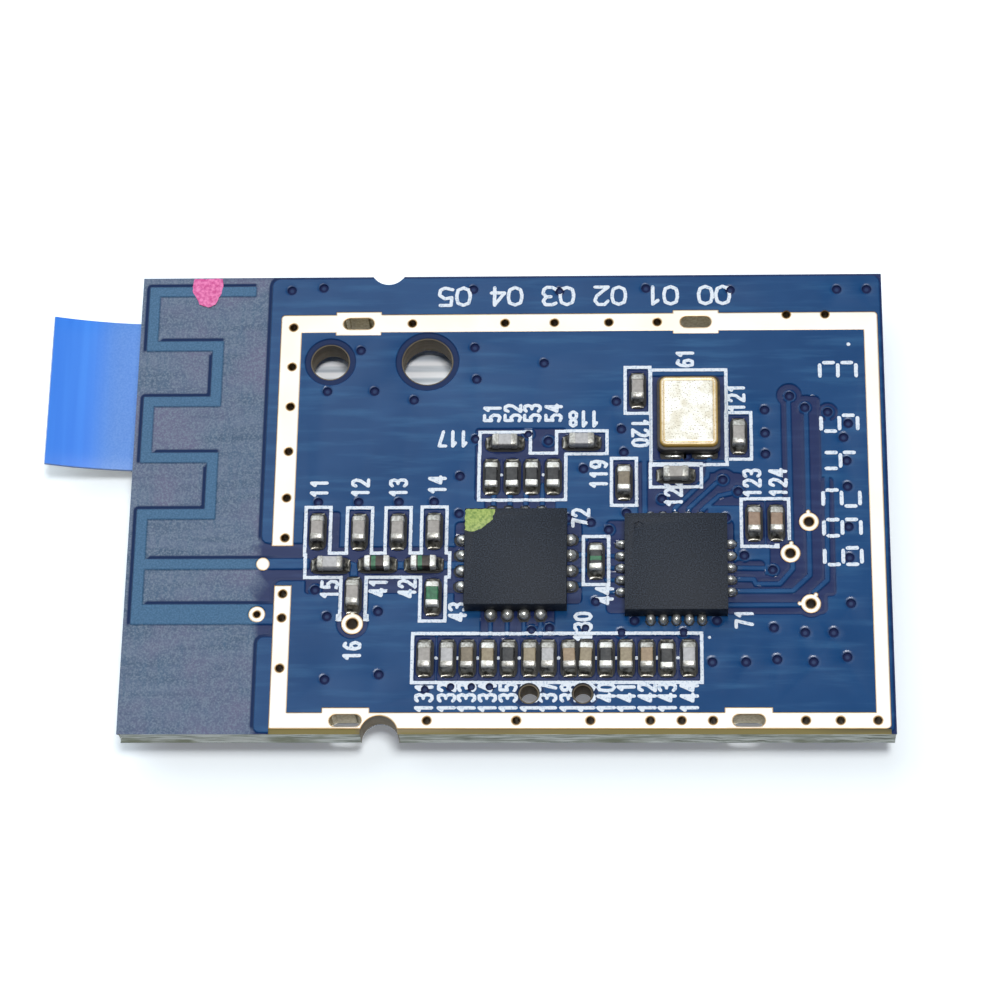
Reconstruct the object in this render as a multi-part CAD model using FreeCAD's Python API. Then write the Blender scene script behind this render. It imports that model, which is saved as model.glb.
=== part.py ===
import FreeCAD, Part
import math
import os

# Wireless circuit board, in millimetres.
# A blue board with a printed antenna, a plated ring for a shield can, two leadless chips, a crystal,
# small chip parts and, under it, a connector with a flat flexible cable that leaves at the left edge.
# The origin is the centre of the main locating hole, on the laminate's underside. X runs along the
# board's length, Y across its width and Z up through its thickness.

V = FreeCAD.Vector
UP = V(0, 0, 1)

# How far a cut runs past the edge that it opens, and the smallest height that counts as a step
cut_reach = 1.0
level_tolerance = 1e-6

# Board
board_length = 30.0
board_width = 19.5
laminate_thickness = 1.06
copper_thickness = 0.04
mask_thickness = 0.03
silk_thickness = 0.02
silk_line = 0.13

# Places are given on a placement grid of squares, half a millimetre each on this board
grid_columns = 60
grid_rows = 39

# Flat sides of the small round shapes, few because there are many of them
via_sides = 6
pad_sides = 12
clearance_sides = 16
slot_end_sides = 5

# Locating holes, peg holes and edge notches
main_hole_diameter = 2.0
second_hole_diameter = 1.5
peg_hole_diameter = 0.7
hole_mask_gap = 0.15
hole_copper_gap = 0.2
notch_radius = 0.73
top_notch_depth = 0.37
bottom_notch_depth = 0.75
main_hole_place = (23.4, 31.4)
second_hole_place = (15.55, 31.4)
peg_hole_places = [(31.85, 3.25), (36.0, 3.25)]
top_notch_column = 20.1
bottom_notch_column = 20.3

# Plated ring for the shield can
ring_left_column = 11.44
ring_right_margin = 0.2
ring_bottom_margin = 0.22
ring_top_margin = 1.7
ring_left_width = 0.85
ring_lower_leg_width = 0.68
ring_right_width = 0.57
ring_bottom_width = 0.65
ring_top_width = 0.8
ring_gap_above_feed = 0.76
ring_gap_below_feed = 0.9
tab_length = 1.85
tab_width = 1.05
slot_length = 1.25
slot_width = 0.5
plating_thickness = 0.05
via_drill = 0.35  # finished, inside the plating
edge_via_inset = 0.1
top_slot_columns = [17.75, 45.0]
bottom_slot_columns = [17.7, 48.75]
left_via_rows = [34.5, 31.0, 27.5, 23.6, 19.6, 16.2, 11.5, 9.5, 5.35]
top_via_columns = [22.1, 29.6, 33.6, 38.0, 41.9]
edge_via_columns = [52.3, 55.4]
bottom_via_columns = [24.0, 30.9, 36.6, 41.2, 43.6, 46.0, 53.1, 55.75, 58.6]

# Printed antenna
trace_width = 0.45
antenna_edge_gap = 0.28
antenna_reach = 3.42
antenna_top_reach = 4.65
antenna_top_margin = 0.4
meander_rows = 5
meander_to_feed = 2.12
feed_row = 14.0
grounding_arm_width = 0.85
grounding_arm_row = 9.8
plane_ahead_of_ring = 0.42
plane_far_margin = 0.2
plane_arm_gap = 0.5
plane_feed_gap = 0.48

# Test pads
dot_pad_diameter = 0.54
dot_pad_column = 10.8
test_pad_diameter = 0.8
test_pad_hole = 0.42
arm_pad_diameter = 0.66
arm_pad_hole = 0.3
arm_pad_to_ring = 0.64
match_pad_offset = (0.0, -1.175)
pair_pad_offsets = [(1.275, 0.05), (0.525, -1.275), (1.275, -3.375)]

# Chip parts: body, end caps, seat and solder
chip_length = 1.0
chip_width = 0.5
capacitor_height = 0.5
resistor_height = 0.35
cap_length = 0.24
cap_proud = 0.02
land_reach = 0.26
land_inset = 0.25
land_width = 0.52
fillet_height = 0.3
fillet_side_gap = 0.02
opening_gap = 0.05
window_gap = 0.15
silk_side = 0.56
silk_end = 1.07

# Leadless chips
package_size = 4.0
package_height = 0.85
package_standoff = 0.04
terminal_width = 0.25
terminal_length = 0.4
terminal_height = 0.2
terminal_land_reach = 0.32
terminal_fillet_height = 0.16
paddle_size = 2.2
pin_mark_diameter = 0.4
pin_mark_depth = 0.04
pin_mark_inset = 0.55
u2_place = (30.75, 14.0)
u2_pitch = 0.65
u2_pins_per_side = 4
u1_place = (43.25, 13.55)
u1_pitch = 0.5
u1_pins_per_side = 5

# Crystal
crystal_length = 3.2
crystal_width = 2.5
crystal_base_height = 0.5
crystal_lid_height = 0.2
crystal_lid_margin = 0.1
crystal_lid_chamfer = 0.06
crystal_corner = 0.3
crystal_pad_length = 1.0
crystal_pad_width = 0.9
crystal_pad_inset = 0.15
crystal_pad_thickness = 0.05
crystal_fillet_reach = 0.2
crystal_place = (44.35, 26.4)
crystal_frame_gap = 0.32

# Flat flexible cable
conductor_count = 12
conductor_pitch = 0.5
conductor_width = 0.3
conductor_thickness = 0.05
film_thickness = 0.035
stiffener_thickness = 0.18
stiffener_length = 6.0
inner_stiffener_length = 5.0
bare_length = 3.5
cable_row = 29.75
cable_reach = 3.75
cable_bend_start = 1.3
cable_bend_radius = 15.0

# Connector under the board
connector_column = 29.0
connector_depth = 3.8
slot_above_middle = 0.05
connector_height = 1.2
connector_side_wall = 0.75
connector_slot_depth = 2.8
connector_slot_side_gap = 0.05
connector_slot_face_gap = 0.02
contact_thickness = 0.16
contact_width = 0.12
contact_cavity_gap = 0.03
contact_roof = 0.2
contact_tail_length = 0.7
contact_tip_inset = 0.9
contact_tip_length = 0.35
contact_tip_flat = 0.07
contact_beam_inset = 0.5
connector_land_width = 0.3
hold_down_length = 1.6
hold_down_foot = 0.45
hold_down_thickness = 0.15
hold_down_inset = 0.25
hold_down_height = 0.75
hold_down_offset = 0.5

# Chip parts on the placement grid: column, row and the turn of the long side in degrees
ALONG_Y = 90
ALONG_X = 0
SKEW = 3
FRONT_ROW = 6.15
UPPER_ROW = 21.35

capacitors = [
    (15.05, 16.75, ALONG_Y),
    (18.35, 16.7, ALONG_Y),
    (21.4, 16.7, ALONG_Y),
    (24.25, 16.75, ALONG_Y),
    (16.15, 13.85, ALONG_X),
    (18.0, 11.35, ALONG_Y),
    (29.75, 24.2, ALONG_X),
    (35.85, 24.25, ALONG_X),
    (39.2, 20.85, ALONG_Y),
    (40.3, 28.75, ALONG_Y),
    (48.3, 24.75, ALONG_Y),
    (43.3, 21.4, ALONG_X),
    (49.4, 17.35, ALONG_Y),
    (51.15, 17.35, ALONG_Y),
    (23.75, FRONT_ROW, ALONG_Y),
    (25.5, FRONT_ROW, ALONG_Y),
    (27.05, FRONT_ROW, ALONG_Y),
    (28.65, FRONT_ROW, ALONG_Y),
    (31.9, FRONT_ROW, ALONG_Y),
    (33.3, FRONT_ROW, ALONG_Y),
    (34.95, FRONT_ROW, ALONG_Y + SKEW),
    (36.25, FRONT_ROW, ALONG_Y - SKEW),
    (39.35, FRONT_ROW, ALONG_Y),
    (40.95, FRONT_ROW, ALONG_Y),
    (44.2, FRONT_ROW, ALONG_Y),
]
inductors = [
    (19.85, 13.9, ALONG_X),
    (23.5, 13.9, ALONG_X),
    (24.25, 11.2, ALONG_Y),
    (37.0, 14.2, ALONG_Y),
    (30.25, FRONT_ROW, ALONG_Y),
    (37.8, FRONT_ROW, ALONG_Y),
]
resistors = [
    (28.7, UPPER_ROW, ALONG_Y),
    (30.35, UPPER_ROW, ALONG_Y),
    (31.9, UPPER_ROW, ALONG_Y),
    (33.6, UPPER_ROW, ALONG_Y),
    (42.5, FRONT_ROW, ALONG_Y),
]

# Levels that follow from the sizes above
copper_z = laminate_thickness + copper_thickness
mask_z = copper_z + mask_thickness
seat_z = copper_z
underside_z = -copper_thickness - mask_thickness
cable_thickness = conductor_thickness + 2 * film_thickness
cable_z = underside_z - connector_height / 2 + slot_above_middle


def place(column_row):
    """Point of the placement grid, measured from the board's front left corner."""
    column, row = column_row
    return V(board_length * column / grid_columns, board_width * row / grid_rows, 0)


def slab(x0, y0, x1, y1, z0, z1):
    """Box between two corners."""
    return Part.makeBox(x1 - x0, y1 - y0, z1 - z0, V(x0, y0, z0))


def slab_at(centre, size_x, size_y, z0, z1):
    """Box about a point of the board."""
    half_x = size_x / 2
    half_y = size_y / 2
    return slab(centre.x - half_x, centre.y - half_y, centre.x + half_x, centre.y + half_y, z0, z1)


def disc(centre, diameter, z0, z1):
    """Upright cylinder about a point of the board."""
    return Part.makeCylinder(diameter / 2, z1 - z0, V(centre.x, centre.y, z0))


def upright_prism(corners, z0, z1):
    """Upright body over an outline of X and Y points."""
    points = [V(x, y, z0) for x, y in corners]
    return Part.Face(Part.makePolygon(points + points[:1])).extrude(V(0, 0, z1 - z0))


def many_sided(centre, diameter, sides, z0, z1):
    """Upright prism that stands for a small round shape."""
    turns = [2 * math.pi * (side + 0.5) / sides for side in range(sides)]
    reach = diameter / 2
    corners = [(centre.x + reach * math.cos(turn), centre.y + reach * math.sin(turn)) for turn in turns]
    return upright_prism(corners, z0, z1)


def long_hole(centre, length, width, z0, z1):
    """Upright body with straight sides and rounded ends, long in X."""
    reach = width / 2
    offset = (length - width) / 2
    corners = []
    for side in (1, -1):
        for step in range(slot_end_sides + 1):
            turn = math.pi * (step / slot_end_sides - 0.5)
            x = centre.x + side * (offset + reach * math.cos(turn))
            corners.append((x, centre.y + side * reach * math.sin(turn)))
    return upright_prism(corners, z0, z1)


def fused(shapes):
    """One shape from several that touch or overlap."""
    if len(shapes) == 1:
        return shapes[0]
    return shapes[0].multiFuse(shapes[1:]).removeSplitter()


def profile_plate(points, y0, y1):
    """Plate from an outline of X and Z points, thick in Y."""
    corners = [V(x, y0, z) for x, z in points]
    return Part.Face(Part.makePolygon(corners + corners[:1])).extrude(V(0, y1 - y0, 0))


def turned(shape, centre, angle, z):
    """Shape made about the origin, turned about Z and set at a place and height."""
    copy = shape.copy()
    copy.rotate(V(0, 0, 0), UP, angle)
    copy.translate(V(centre.x, centre.y, z))
    return copy


def on_both_ends(shape):
    """The shape and its copy at the other end of a chip part."""
    other = shape.copy()
    other.rotate(V(0, 0, 0), UP, 180)
    return [shape, other]


# Places used by several parts
main_hole = place(main_hole_place)
second_hole = place(second_hole_place)
peg_holes = [place(spot) for spot in peg_hole_places]
ring_left = place((ring_left_column, 0)).x
ring_lower_left = ring_left + ring_left_width - ring_lower_leg_width
ring_right = board_length - ring_right_margin
ring_top = board_width - ring_top_margin
ring_bottom = ring_bottom_margin
feed_y = place((0, feed_row)).y
grounding_arm_y = place((0, grounding_arm_row)).y
top_slot_y = ring_top - ring_top_width / 2
bottom_slot_y = ring_bottom + ring_bottom_width / 2
slots = [V(place((column, 0)).x, top_slot_y, 0) for column in top_slot_columns]
slots += [V(place((column, 0)).x, bottom_slot_y, 0) for column in bottom_slot_columns]
left_via_x = ring_lower_left + ring_lower_leg_width / 2
ring_vias = [V(left_via_x, place((0, row)).y, 0) for row in left_via_rows]
ring_vias += [V(place((column, 0)).x, top_slot_y, 0) for column in top_via_columns]
ring_vias += [V(place((column, 0)).x, bottom_slot_y, 0) for column in bottom_via_columns]
edge_vias = [V(place((column, 0)).x, ring_top - edge_via_inset, 0) for column in edge_via_columns]
dot_pad = V(place((dot_pad_column, 0)).x, feed_y, 0)
arm_pad = V(ring_lower_left - arm_pad_to_ring, grounding_arm_y, 0)
test_pads = [place(capacitors[5][:2]) + V(*match_pad_offset, 0)]
test_pads += [place(capacitors[13][:2]) + V(*offset, 0) for offset in pair_pad_offsets]
ringed_pads = [(arm_pad, arm_pad_diameter, arm_pad_hole)]
ringed_pads += [(spot, test_pad_diameter, test_pad_hole) for spot in test_pads]
u1_centre = place(u1_place)
u2_centre = place(u2_place)
crystal_centre = place(crystal_place)
cable_y = place((0, cable_row)).y
cable_width = (conductor_count + 1) * conductor_pitch
connector_front = place((connector_column, 0)).x
connector_back = connector_front + connector_depth
cable_end = connector_front + connector_slot_depth - connector_slot_side_gap


# Board

def notches(z0, z1):
    """Round bites out of the far and near edges."""
    far = V(place((top_notch_column, 0)).x, board_width - top_notch_depth + notch_radius, 0)
    near = V(place((bottom_notch_column, 0)).x, bottom_notch_depth - notch_radius, 0)
    return [disc(spot, 2 * notch_radius, z0, z1) for spot in (far, near)]


def bare_hole_sizes():
    """Place and diameter of each locating and peg hole."""
    sizes = [(main_hole, main_hole_diameter), (second_hole, second_hole_diameter)]
    return sizes + [(spot, peg_hole_diameter) for spot in peg_holes]


def bare_holes(z0, z1):
    """The locating and peg holes, truly round for what goes into them."""
    return [disc(spot, diameter, z0, z1) for spot, diameter in bare_hole_sizes()]


def bare_hole_clearances(gap, z0, z1):
    """Room round the locating and peg holes in copper and mask."""
    spots = bare_hole_sizes()
    return [many_sided(spot, diameter + 2 * gap, clearance_sides, z0, z1) for spot, diameter in spots]


def slot_holes(gap, z0, z1):
    """The shield can's slots, each wider by a gap all round."""
    return [long_hole(spot, slot_length + 2 * gap, slot_width + 2 * gap, z0, z1) for spot in slots]


def via_holes(spots, z0, z1):
    """Small plated holes."""
    return [many_sided(spot, via_drill, via_sides, z0, z1) for spot in spots]


def pad_holes(gap, z0, z1):
    """Holes through the ringed test pads, each wider by a gap all round."""
    return [many_sided(spot, hole + 2 * gap, via_sides, z0, z1) for spot, diameter, hole in ringed_pads]


def board_plate(z0, z1):
    """Full board outline with its edge notches."""
    return slab(0, 0, board_length, board_width, z0, z1).cut(notches(z0, z1))


def make_laminate():
    plate = board_plate(0, laminate_thickness)
    holes = bare_holes(0, laminate_thickness) + slot_holes(plating_thickness, 0, laminate_thickness)
    holes += via_holes(ring_vias + edge_vias, 0, laminate_thickness)
    holes += pad_holes(0, 0, laminate_thickness)
    return plate.cut(holes)


# Room kept round the parts

def chip_block(spot):
    """Rectangle that the printed line keeps round a chip part."""
    column, row, angle = spot
    centre = place((column, row))
    upright = abs(angle - ALONG_Y) < abs(angle - ALONG_X)
    half_x = silk_side if upright else silk_end
    half_y = silk_end if upright else silk_side
    return (centre.x - half_x, centre.y - half_y, centre.x + half_x, centre.y + half_y)


def joined_block(spots):
    """Smallest rectangle over several chip rectangles."""
    blocks = [chip_block(spot) for spot in spots]
    lows = [min(block[axis] for block in blocks) for axis in (0, 1)]
    highs = [max(block[axis] for block in blocks) for axis in (2, 3)]
    return tuple(lows + highs)


def crystal_block():
    """Rectangle that the printed line keeps round the crystal."""
    half_x = crystal_width / 2 + crystal_frame_gap
    half_y = crystal_length / 2 + crystal_fillet_reach + crystal_frame_gap
    centre = crystal_centre
    return (centre.x - half_x, centre.y - half_y, centre.x + half_x, centre.y + half_y)


def part_groups():
    """Rectangles of the parts that share a printed line: the antenna match, the upper group, the
    crystal, four single capacitors, a pair, a single inductor and the front row."""
    match = [chip_block(spot) for spot in capacitors[0:6] + inductors[0:3]]
    match.append(joined_block([capacitors[4], inductors[1]]))
    upper = [joined_block(resistors[0:4]), chip_block(capacitors[6]), chip_block(capacitors[7])]
    groups = [match, upper, [crystal_block()]]
    groups += [[chip_block(spot)] for spot in capacitors[8:12]]
    groups += [[joined_block(capacitors[12:14])], [chip_block(inductors[3])]]
    groups.append([joined_block(capacitors[14:])])
    return groups


def part_blocks():
    """All the rectangles of all the groups."""
    return [block for blocks in part_groups() for block in blocks]


# Antenna and ground copper

def bar(x0, y_centre, x1, width, z0, z1):
    return slab(x0, y_centre - width / 2, x1, y_centre + width / 2, z0, z1)


def antenna_bars(z0, z1, spread=0.0):
    """Meander, feed line and grounding arm, each wider by a spread all round."""
    width = trace_width + 2 * spread
    left = antenna_edge_gap - spread
    right = antenna_reach + spread
    top_y = board_width - antenna_top_margin - trace_width / 2
    pitch = (top_y - feed_y - meander_to_feed) / (meander_rows - 1)
    rows = [top_y - index * pitch for index in range(meander_rows)]
    bars = [bar(left, top_y, antenna_top_reach + spread, width, z0, z1)]
    bars += [bar(left, y, right, width, z0, z1) for y in rows[1:]]
    for index in range(meander_rows - 1):
        x0 = left if index % 2 == 0 else right - width
        low = rows[index + 1] - width / 2
        high = rows[index] + width / 2
        bars.append(slab(x0, low, x0 + width, high, z0, z1))
    arm_low = grounding_arm_y - grounding_arm_width / 2 - spread
    arm_high = grounding_arm_y + grounding_arm_width / 2 + spread
    bars.append(slab(left, arm_low, left + width, rows[-1], z0, z1))
    bars.append(slab(left, arm_low, ring_lower_left, arm_high, z0, z1))
    bars.append(bar(left, feed_y, feed_end, width, z0, z1))
    return bars


def make_antenna():
    copper = fused(antenna_bars(laminate_thickness, copper_z))
    return copper.cut(pad_spots(0, laminate_thickness, copper_z))


def plane_region(z0, z1, spread=0.0):
    """Ground copper's outline, out to the ring's near and right edges, free of the antenna's corner."""
    left = ring_left - plane_ahead_of_ring - spread
    far = board_width - plane_far_margin + spread
    region = slab(left, ring_bottom - spread, ring_right + spread, far, z0, z1)
    arm_low = grounding_arm_y - grounding_arm_width / 2 - plane_arm_gap + spread
    feed_low = feed_y - trace_width / 2 - plane_feed_gap + spread
    feed_high = feed_y + ring_gap_above_feed + spread
    free = [slab(left - cut_reach, arm_low, ring_lower_left - spread, feed_high, z0, z1)]
    free.append(slab(left - cut_reach, feed_low, feed_end + plane_feed_gap - spread, feed_high, z0, z1))
    return region.cut(free)


# Plated ring

def ring_pad(z0, z1):
    """Ring outline with its wider tabs, without holes."""
    outer = slab(ring_left, ring_bottom, ring_right, ring_top, z0, z1)
    inner = slab(
        ring_left + ring_left_width,
        ring_bottom + ring_bottom_width,
        ring_right - ring_right_width,
        ring_top - ring_top_width,
        z0,
        z1,
    )
    gap_low = feed_y - ring_gap_below_feed
    gap_high = feed_y + ring_gap_above_feed
    gap = slab(ring_left - cut_reach, gap_low, ring_left + ring_left_width + cut_reach, gap_high, z0, z1)
    step = slab(ring_left - cut_reach, 0, ring_lower_left, gap_low, z0, z1)
    tabs = [slab_at(spot, tab_length, tab_width, z0, z1) for spot in slots]
    ring = outer.cut([inner, gap, step])
    board = slab(0, ring_bottom, board_length, board_width, z0, z1)
    return fused([ring] + tabs).common(board).cut(notches(z0, z1))


def make_ring():
    """Ring with plated slot walls, cut through by its vias."""
    pad = ring_pad(laminate_thickness, copper_z)
    linings = slot_holes(plating_thickness, 0, copper_z)
    drills = slot_holes(0, 0, copper_z) + via_holes(ring_vias + edge_vias, 0, copper_z)
    return fused([pad] + linings).cut(drills)


def make_test_pads():
    """Ringed pads round their holes, and the plain dot on the feed line."""
    faces = pad_spots(0, laminate_thickness, copper_z)
    holes = pad_holes(0, laminate_thickness, copper_z)
    return Part.makeCompound([face.cut(holes) for face in faces])


def pad_spots(gap, z0, z1):
    """Outlines of all test pads, wider by a gap all round."""
    spots = [(dot_pad, dot_pad_diameter)] + [pad[:2] for pad in ringed_pads]
    return [many_sided(spot, diameter + 2 * gap, pad_sides, z0, z1) for spot, diameter in spots]


# Chip parts

def make_chip(height, centre, angle):
    """Ceramic body with an end cap at each end, one solid."""
    body_width = chip_width - 2 * cap_proud
    core = slab_at(V(0, 0, 0), chip_length - cap_length, body_width, cap_proud, height - cap_proud)
    cap = slab(
        chip_length / 2 - cap_length,
        -chip_width / 2,
        chip_length / 2,
        chip_width / 2,
        0,
        height,
    )
    return turned(fused([core] + on_both_ends(cap)), centre, angle, seat_z)


def chip_lands(centre, angle, z0, z1):
    """Two lands under a chip part."""
    end = chip_length / 2
    land = slab(end - land_inset, -land_width / 2, end + land_reach, land_width / 2, 0, z1 - z0)
    return [turned(one, centre, angle, z0) for one in on_both_ends(land)]


def chip_opening(centre, angle, z0, z1):
    """Mask opening under a chip part, from the end of one land to the end of the other."""
    reach = 2 * (chip_length / 2 + land_reach + opening_gap)
    opening = slab_at(V(0, 0, 0), reach, land_width + 2 * opening_gap, 0, z1 - z0)
    return turned(opening, centre, angle, z0)


def fillet(end, reach, height, width):
    """Wedge of solder that rises from a land to an end face."""
    return profile_plate([(end, 0), (end + reach, 0), (end, height)], -width / 2, width / 2)


def chip_joints(centre, angle):
    """Solder fillet at both ends of a chip part."""
    joint = fillet(chip_length / 2, land_reach, fillet_height, chip_width - 2 * fillet_side_gap)
    return [turned(one, centre, angle, copper_z) for one in on_both_ends(joint)]


# Leadless chips

def side_spots(pins, pitch):
    """Offsets of the terminals along one side of a package."""
    return [(index - (pins - 1) / 2) * pitch for index in range(pins)]


def around_package(shape, centre, pins, pitch, z):
    """Copies of a piece made at the right-hand side, for each terminal of the four sides."""
    copies = []
    for quarter in range(4):
        for offset in side_spots(pins, pitch):
            copy = shape.copy()
            copy.translate(V(0, offset, 0))
            copies.append(turned(copy, centre, 90 * quarter, z))
    return copies


def package_terminals(centre, pins, pitch):
    half = package_size / 2
    terminal = slab(half - terminal_length, -terminal_width / 2, half, terminal_width / 2, 0, terminal_height)
    paddle = slab_at(V(0, 0, 0), paddle_size, paddle_size, 0, terminal_height)
    return around_package(terminal, centre, pins, pitch, seat_z) + [turned(paddle, centre, 0, seat_z)]


def make_package(centre, pins, pitch):
    """Moulded body with its pin mark, cut free for its terminals."""
    low = seat_z + package_standoff
    body = slab_at(centre, package_size, package_size, low, seat_z + package_height)
    corner = V(-package_size / 2 + pin_mark_inset, package_size / 2 - pin_mark_inset, 0)
    top = seat_z + package_height
    mark = many_sided(centre + corner, pin_mark_diameter, via_sides, top - pin_mark_depth, top)
    return body.cut(package_terminals(centre, pins, pitch) + [mark])


def package_lands(centre, pins, pitch, z0, z1):
    half = package_size / 2
    outer = half + terminal_land_reach
    land = slab(half - terminal_length, -terminal_width / 2, outer, terminal_width / 2, 0, z1 - z0)
    paddle = slab_at(centre, paddle_size, paddle_size, z0, z1)
    return around_package(land, centre, pins, pitch, z0) + [paddle]


def package_openings(centre, pins, pitch, z0, z1):
    """Mask openings: one along each row of lands, and one over the paddle's land."""
    half = package_size / 2
    row_half = (pins - 1) * pitch / 2 + terminal_width / 2 + opening_gap
    outer = half + terminal_land_reach + opening_gap
    row = slab(half - terminal_length - opening_gap, -row_half, outer, row_half, 0, z1 - z0)
    rows = [turned(row, centre, 90 * quarter, z0) for quarter in range(4)]
    paddle = slab_at(centre, paddle_size + 2 * opening_gap, paddle_size + 2 * opening_gap, z0, z1)
    return rows + [paddle]


def package_joints(centre, pins, pitch):
    """Small solder fillet outside each terminal."""
    joint = fillet(package_size / 2, terminal_land_reach, terminal_fillet_height, terminal_width)
    return around_package(joint, centre, pins, pitch, copper_z)


# Crystal

def rounded_block(size_x, size_y, radius, z0, z1):
    block = slab_at(crystal_centre, size_x, size_y, z0, z1)
    upright = [edge for edge in block.Edges if abs(edge.Vertexes[0].Z - edge.Vertexes[-1].Z) > level_tolerance]
    return block.makeFillet(radius, upright)


def crystal_pad_spots():
    spots = []
    for side_x in (-1, 1):
        for side_y in (-1, 1):
            across = crystal_width / 2 - crystal_pad_inset - crystal_pad_width / 2
            along = crystal_length / 2 - crystal_pad_inset - crystal_pad_length / 2
            spots.append(crystal_centre + V(side_x * across, side_y * along, 0))
    return spots


def make_crystal_base():
    """Ceramic tray on four metal pads, one solid."""
    low = seat_z + crystal_pad_thickness
    tray = rounded_block(crystal_width, crystal_length, crystal_corner, low, seat_z + crystal_base_height)
    pads = [slab_at(spot, crystal_pad_width, crystal_pad_length, seat_z, low) for spot in crystal_pad_spots()]
    return fused([tray] + pads)


def make_crystal_lid():
    low = seat_z + crystal_base_height
    size_x = crystal_width - 2 * crystal_lid_margin
    size_y = crystal_length - 2 * crystal_lid_margin
    radius = crystal_corner - crystal_lid_margin / 2
    lid = rounded_block(size_x, size_y, radius, low, low + crystal_lid_height)
    rim = [edge for edge in lid.Edges if min(v.Z for v in edge.Vertexes) > low + level_tolerance]
    return lid.makeChamfer(crystal_lid_chamfer, rim)


def crystal_joints():
    """Solder at the outer end of each of the crystal's pads."""
    joints = []
    reach = crystal_pad_inset + crystal_fillet_reach
    joint = fillet(0, reach, crystal_pad_thickness, crystal_pad_width)
    for spot in crystal_pad_spots():
        outward = 1 if spot.y > crystal_centre.y else -1
        joints.append(turned(joint, spot + V(0, outward * crystal_pad_length / 2, 0), outward * ALONG_Y, copper_z))
    return joints


def crystal_lands(gap, z0, z1):
    """Lands that reach past the crystal's ends for the solder."""
    lands = []
    for spot in crystal_pad_spots():
        outward = 1 if spot.y > crystal_centre.y else -1
        middle = spot + V(0, outward * (crystal_pad_inset + crystal_fillet_reach) / 2, 0)
        size_y = crystal_pad_length + crystal_pad_inset + crystal_fillet_reach
        lands.append(slab_at(middle, crystal_pad_width + 2 * gap, size_y + 2 * gap, z0, z1))
    return lands


# Solder mask and printing

def part_openings(z0, z1):
    """Mask openings under the chip parts and at the crystal's lands."""
    openings = [chip_opening(centre, angle, z0, z1) for centre, angle, height in chip_rows]
    return openings + crystal_lands(opening_gap, z0, z1)


def make_component_lands():
    z0 = laminate_thickness
    lands = crystal_lands(0, z0, copper_z)
    for centre, angle, height in chip_rows:
        lands += chip_lands(centre, angle, z0, copper_z)
    lands += package_lands(u2_centre, u2_pins_per_side, u2_pitch, z0, copper_z)
    lands += package_lands(u1_centre, u1_pins_per_side, u1_pitch, z0, copper_z)
    return Part.makeCompound(lands)


def make_top_ground():
    """Ground plane with windows round the parts, cut free of the ring and the holes."""
    z0 = laminate_thickness
    window = package_size + 2 * (terminal_land_reach + window_gap)
    windows = [slab(x0, y0, x1, y1, z0, copper_z) for x0, y0, x1, y1 in part_blocks()]
    windows += [slab_at(centre, window, window, z0, copper_z) for centre in (u1_centre, u2_centre)]
    clear = bare_hole_clearances(hole_copper_gap, z0, copper_z) + pad_spots(window_gap, z0, copper_z)
    clear += notches(z0, copper_z) + via_holes(edge_vias, z0, copper_z) + [ring_pad(z0, copper_z)]
    return plane_region(z0, copper_z).cut(fused(windows)).cut(clear)


def make_top_mask(top_ground, antenna):
    """Mask that follows the copper: raised over the plane and the antenna, open at lands and ring."""
    z0 = laminate_thickness
    low = board_plate(z0, z0 + mask_thickness)
    raised = [plane_region(z0, mask_z, mask_thickness)] + antenna_bars(z0, mask_z, mask_thickness)
    skin = fused([low, fused(raised)])
    skin = skin.common(board_plate(z0, mask_z)).cut([top_ground, antenna])
    openings = part_openings(z0, mask_z)
    openings += package_openings(u2_centre, u2_pins_per_side, u2_pitch, z0, mask_z)
    openings += package_openings(u1_centre, u1_pins_per_side, u1_pitch, z0, mask_z)
    openings += bare_hole_clearances(hole_mask_gap, z0, mask_z) + pad_spots(0, z0, mask_z)
    strip = slab(ring_lower_left, 0, board_length, ring_bottom, z0, mask_z)
    return skin.cut(fused(openings)).cut([ring_pad(z0, mask_z), strip])


def outline_frame(blocks):
    """Thin line just inside the outline of several joined rectangles."""
    rectangles = []
    for x0, y0, x1, y1 in blocks:
        corners = [V(x0, y0, mask_z), V(x1, y0, mask_z), V(x1, y1, mask_z), V(x0, y1, mask_z)]
        rectangles.append(Part.Face(Part.makePolygon(corners + corners[:1])))
    outside = Part.Face(fused(rectangles).Faces[0].OuterWire)
    inside = outside.makeOffset2D(-silk_line, 2)
    return outside.cut(inside).extrude(V(0, 0, silk_thickness))


def make_silkscreen():
    """Printed line round each group of parts."""
    frames = [outline_frame(blocks) for blocks in part_groups()]
    print_z = mask_z + silk_thickness
    clear = part_openings(mask_z, print_z)
    clear += pad_spots(window_gap, mask_z, print_z)
    clear += package_openings(u2_centre, u2_pins_per_side, u2_pitch, mask_z, print_z)
    clear += package_openings(u1_centre, u1_pins_per_side, u1_pitch, mask_z, print_z)
    return fused(frames).cut(clear)


# Flat flexible cable

def cable_strip(y0, y1, low, high, from_x, arc_from, arc_to):
    """Strip that follows the cable: straight back from from_x, then up along the bend's arc."""
    pieces = []
    if from_x > cable_bend_start:
        pieces.append(slab(cable_bend_start, y0, from_x, y1, cable_z + low, cable_z + high))
    if arc_to > arc_from:
        corners = [
            V(cable_bend_start, y0, cable_z + low),
            V(cable_bend_start, y1, cable_z + low),
            V(cable_bend_start, y1, cable_z + high),
            V(cable_bend_start, y0, cable_z + high),
        ]
        section = Part.Face(Part.makePolygon(corners + corners[:1]))
        axis_point = V(cable_bend_start, 0, cable_z + cable_bend_radius)
        section.rotate(axis_point, V(0, 1, 0), arc_from)
        pieces.append(section.revolve(axis_point, V(0, 1, 0), arc_to - arc_from))
    return fused(pieces)


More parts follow.
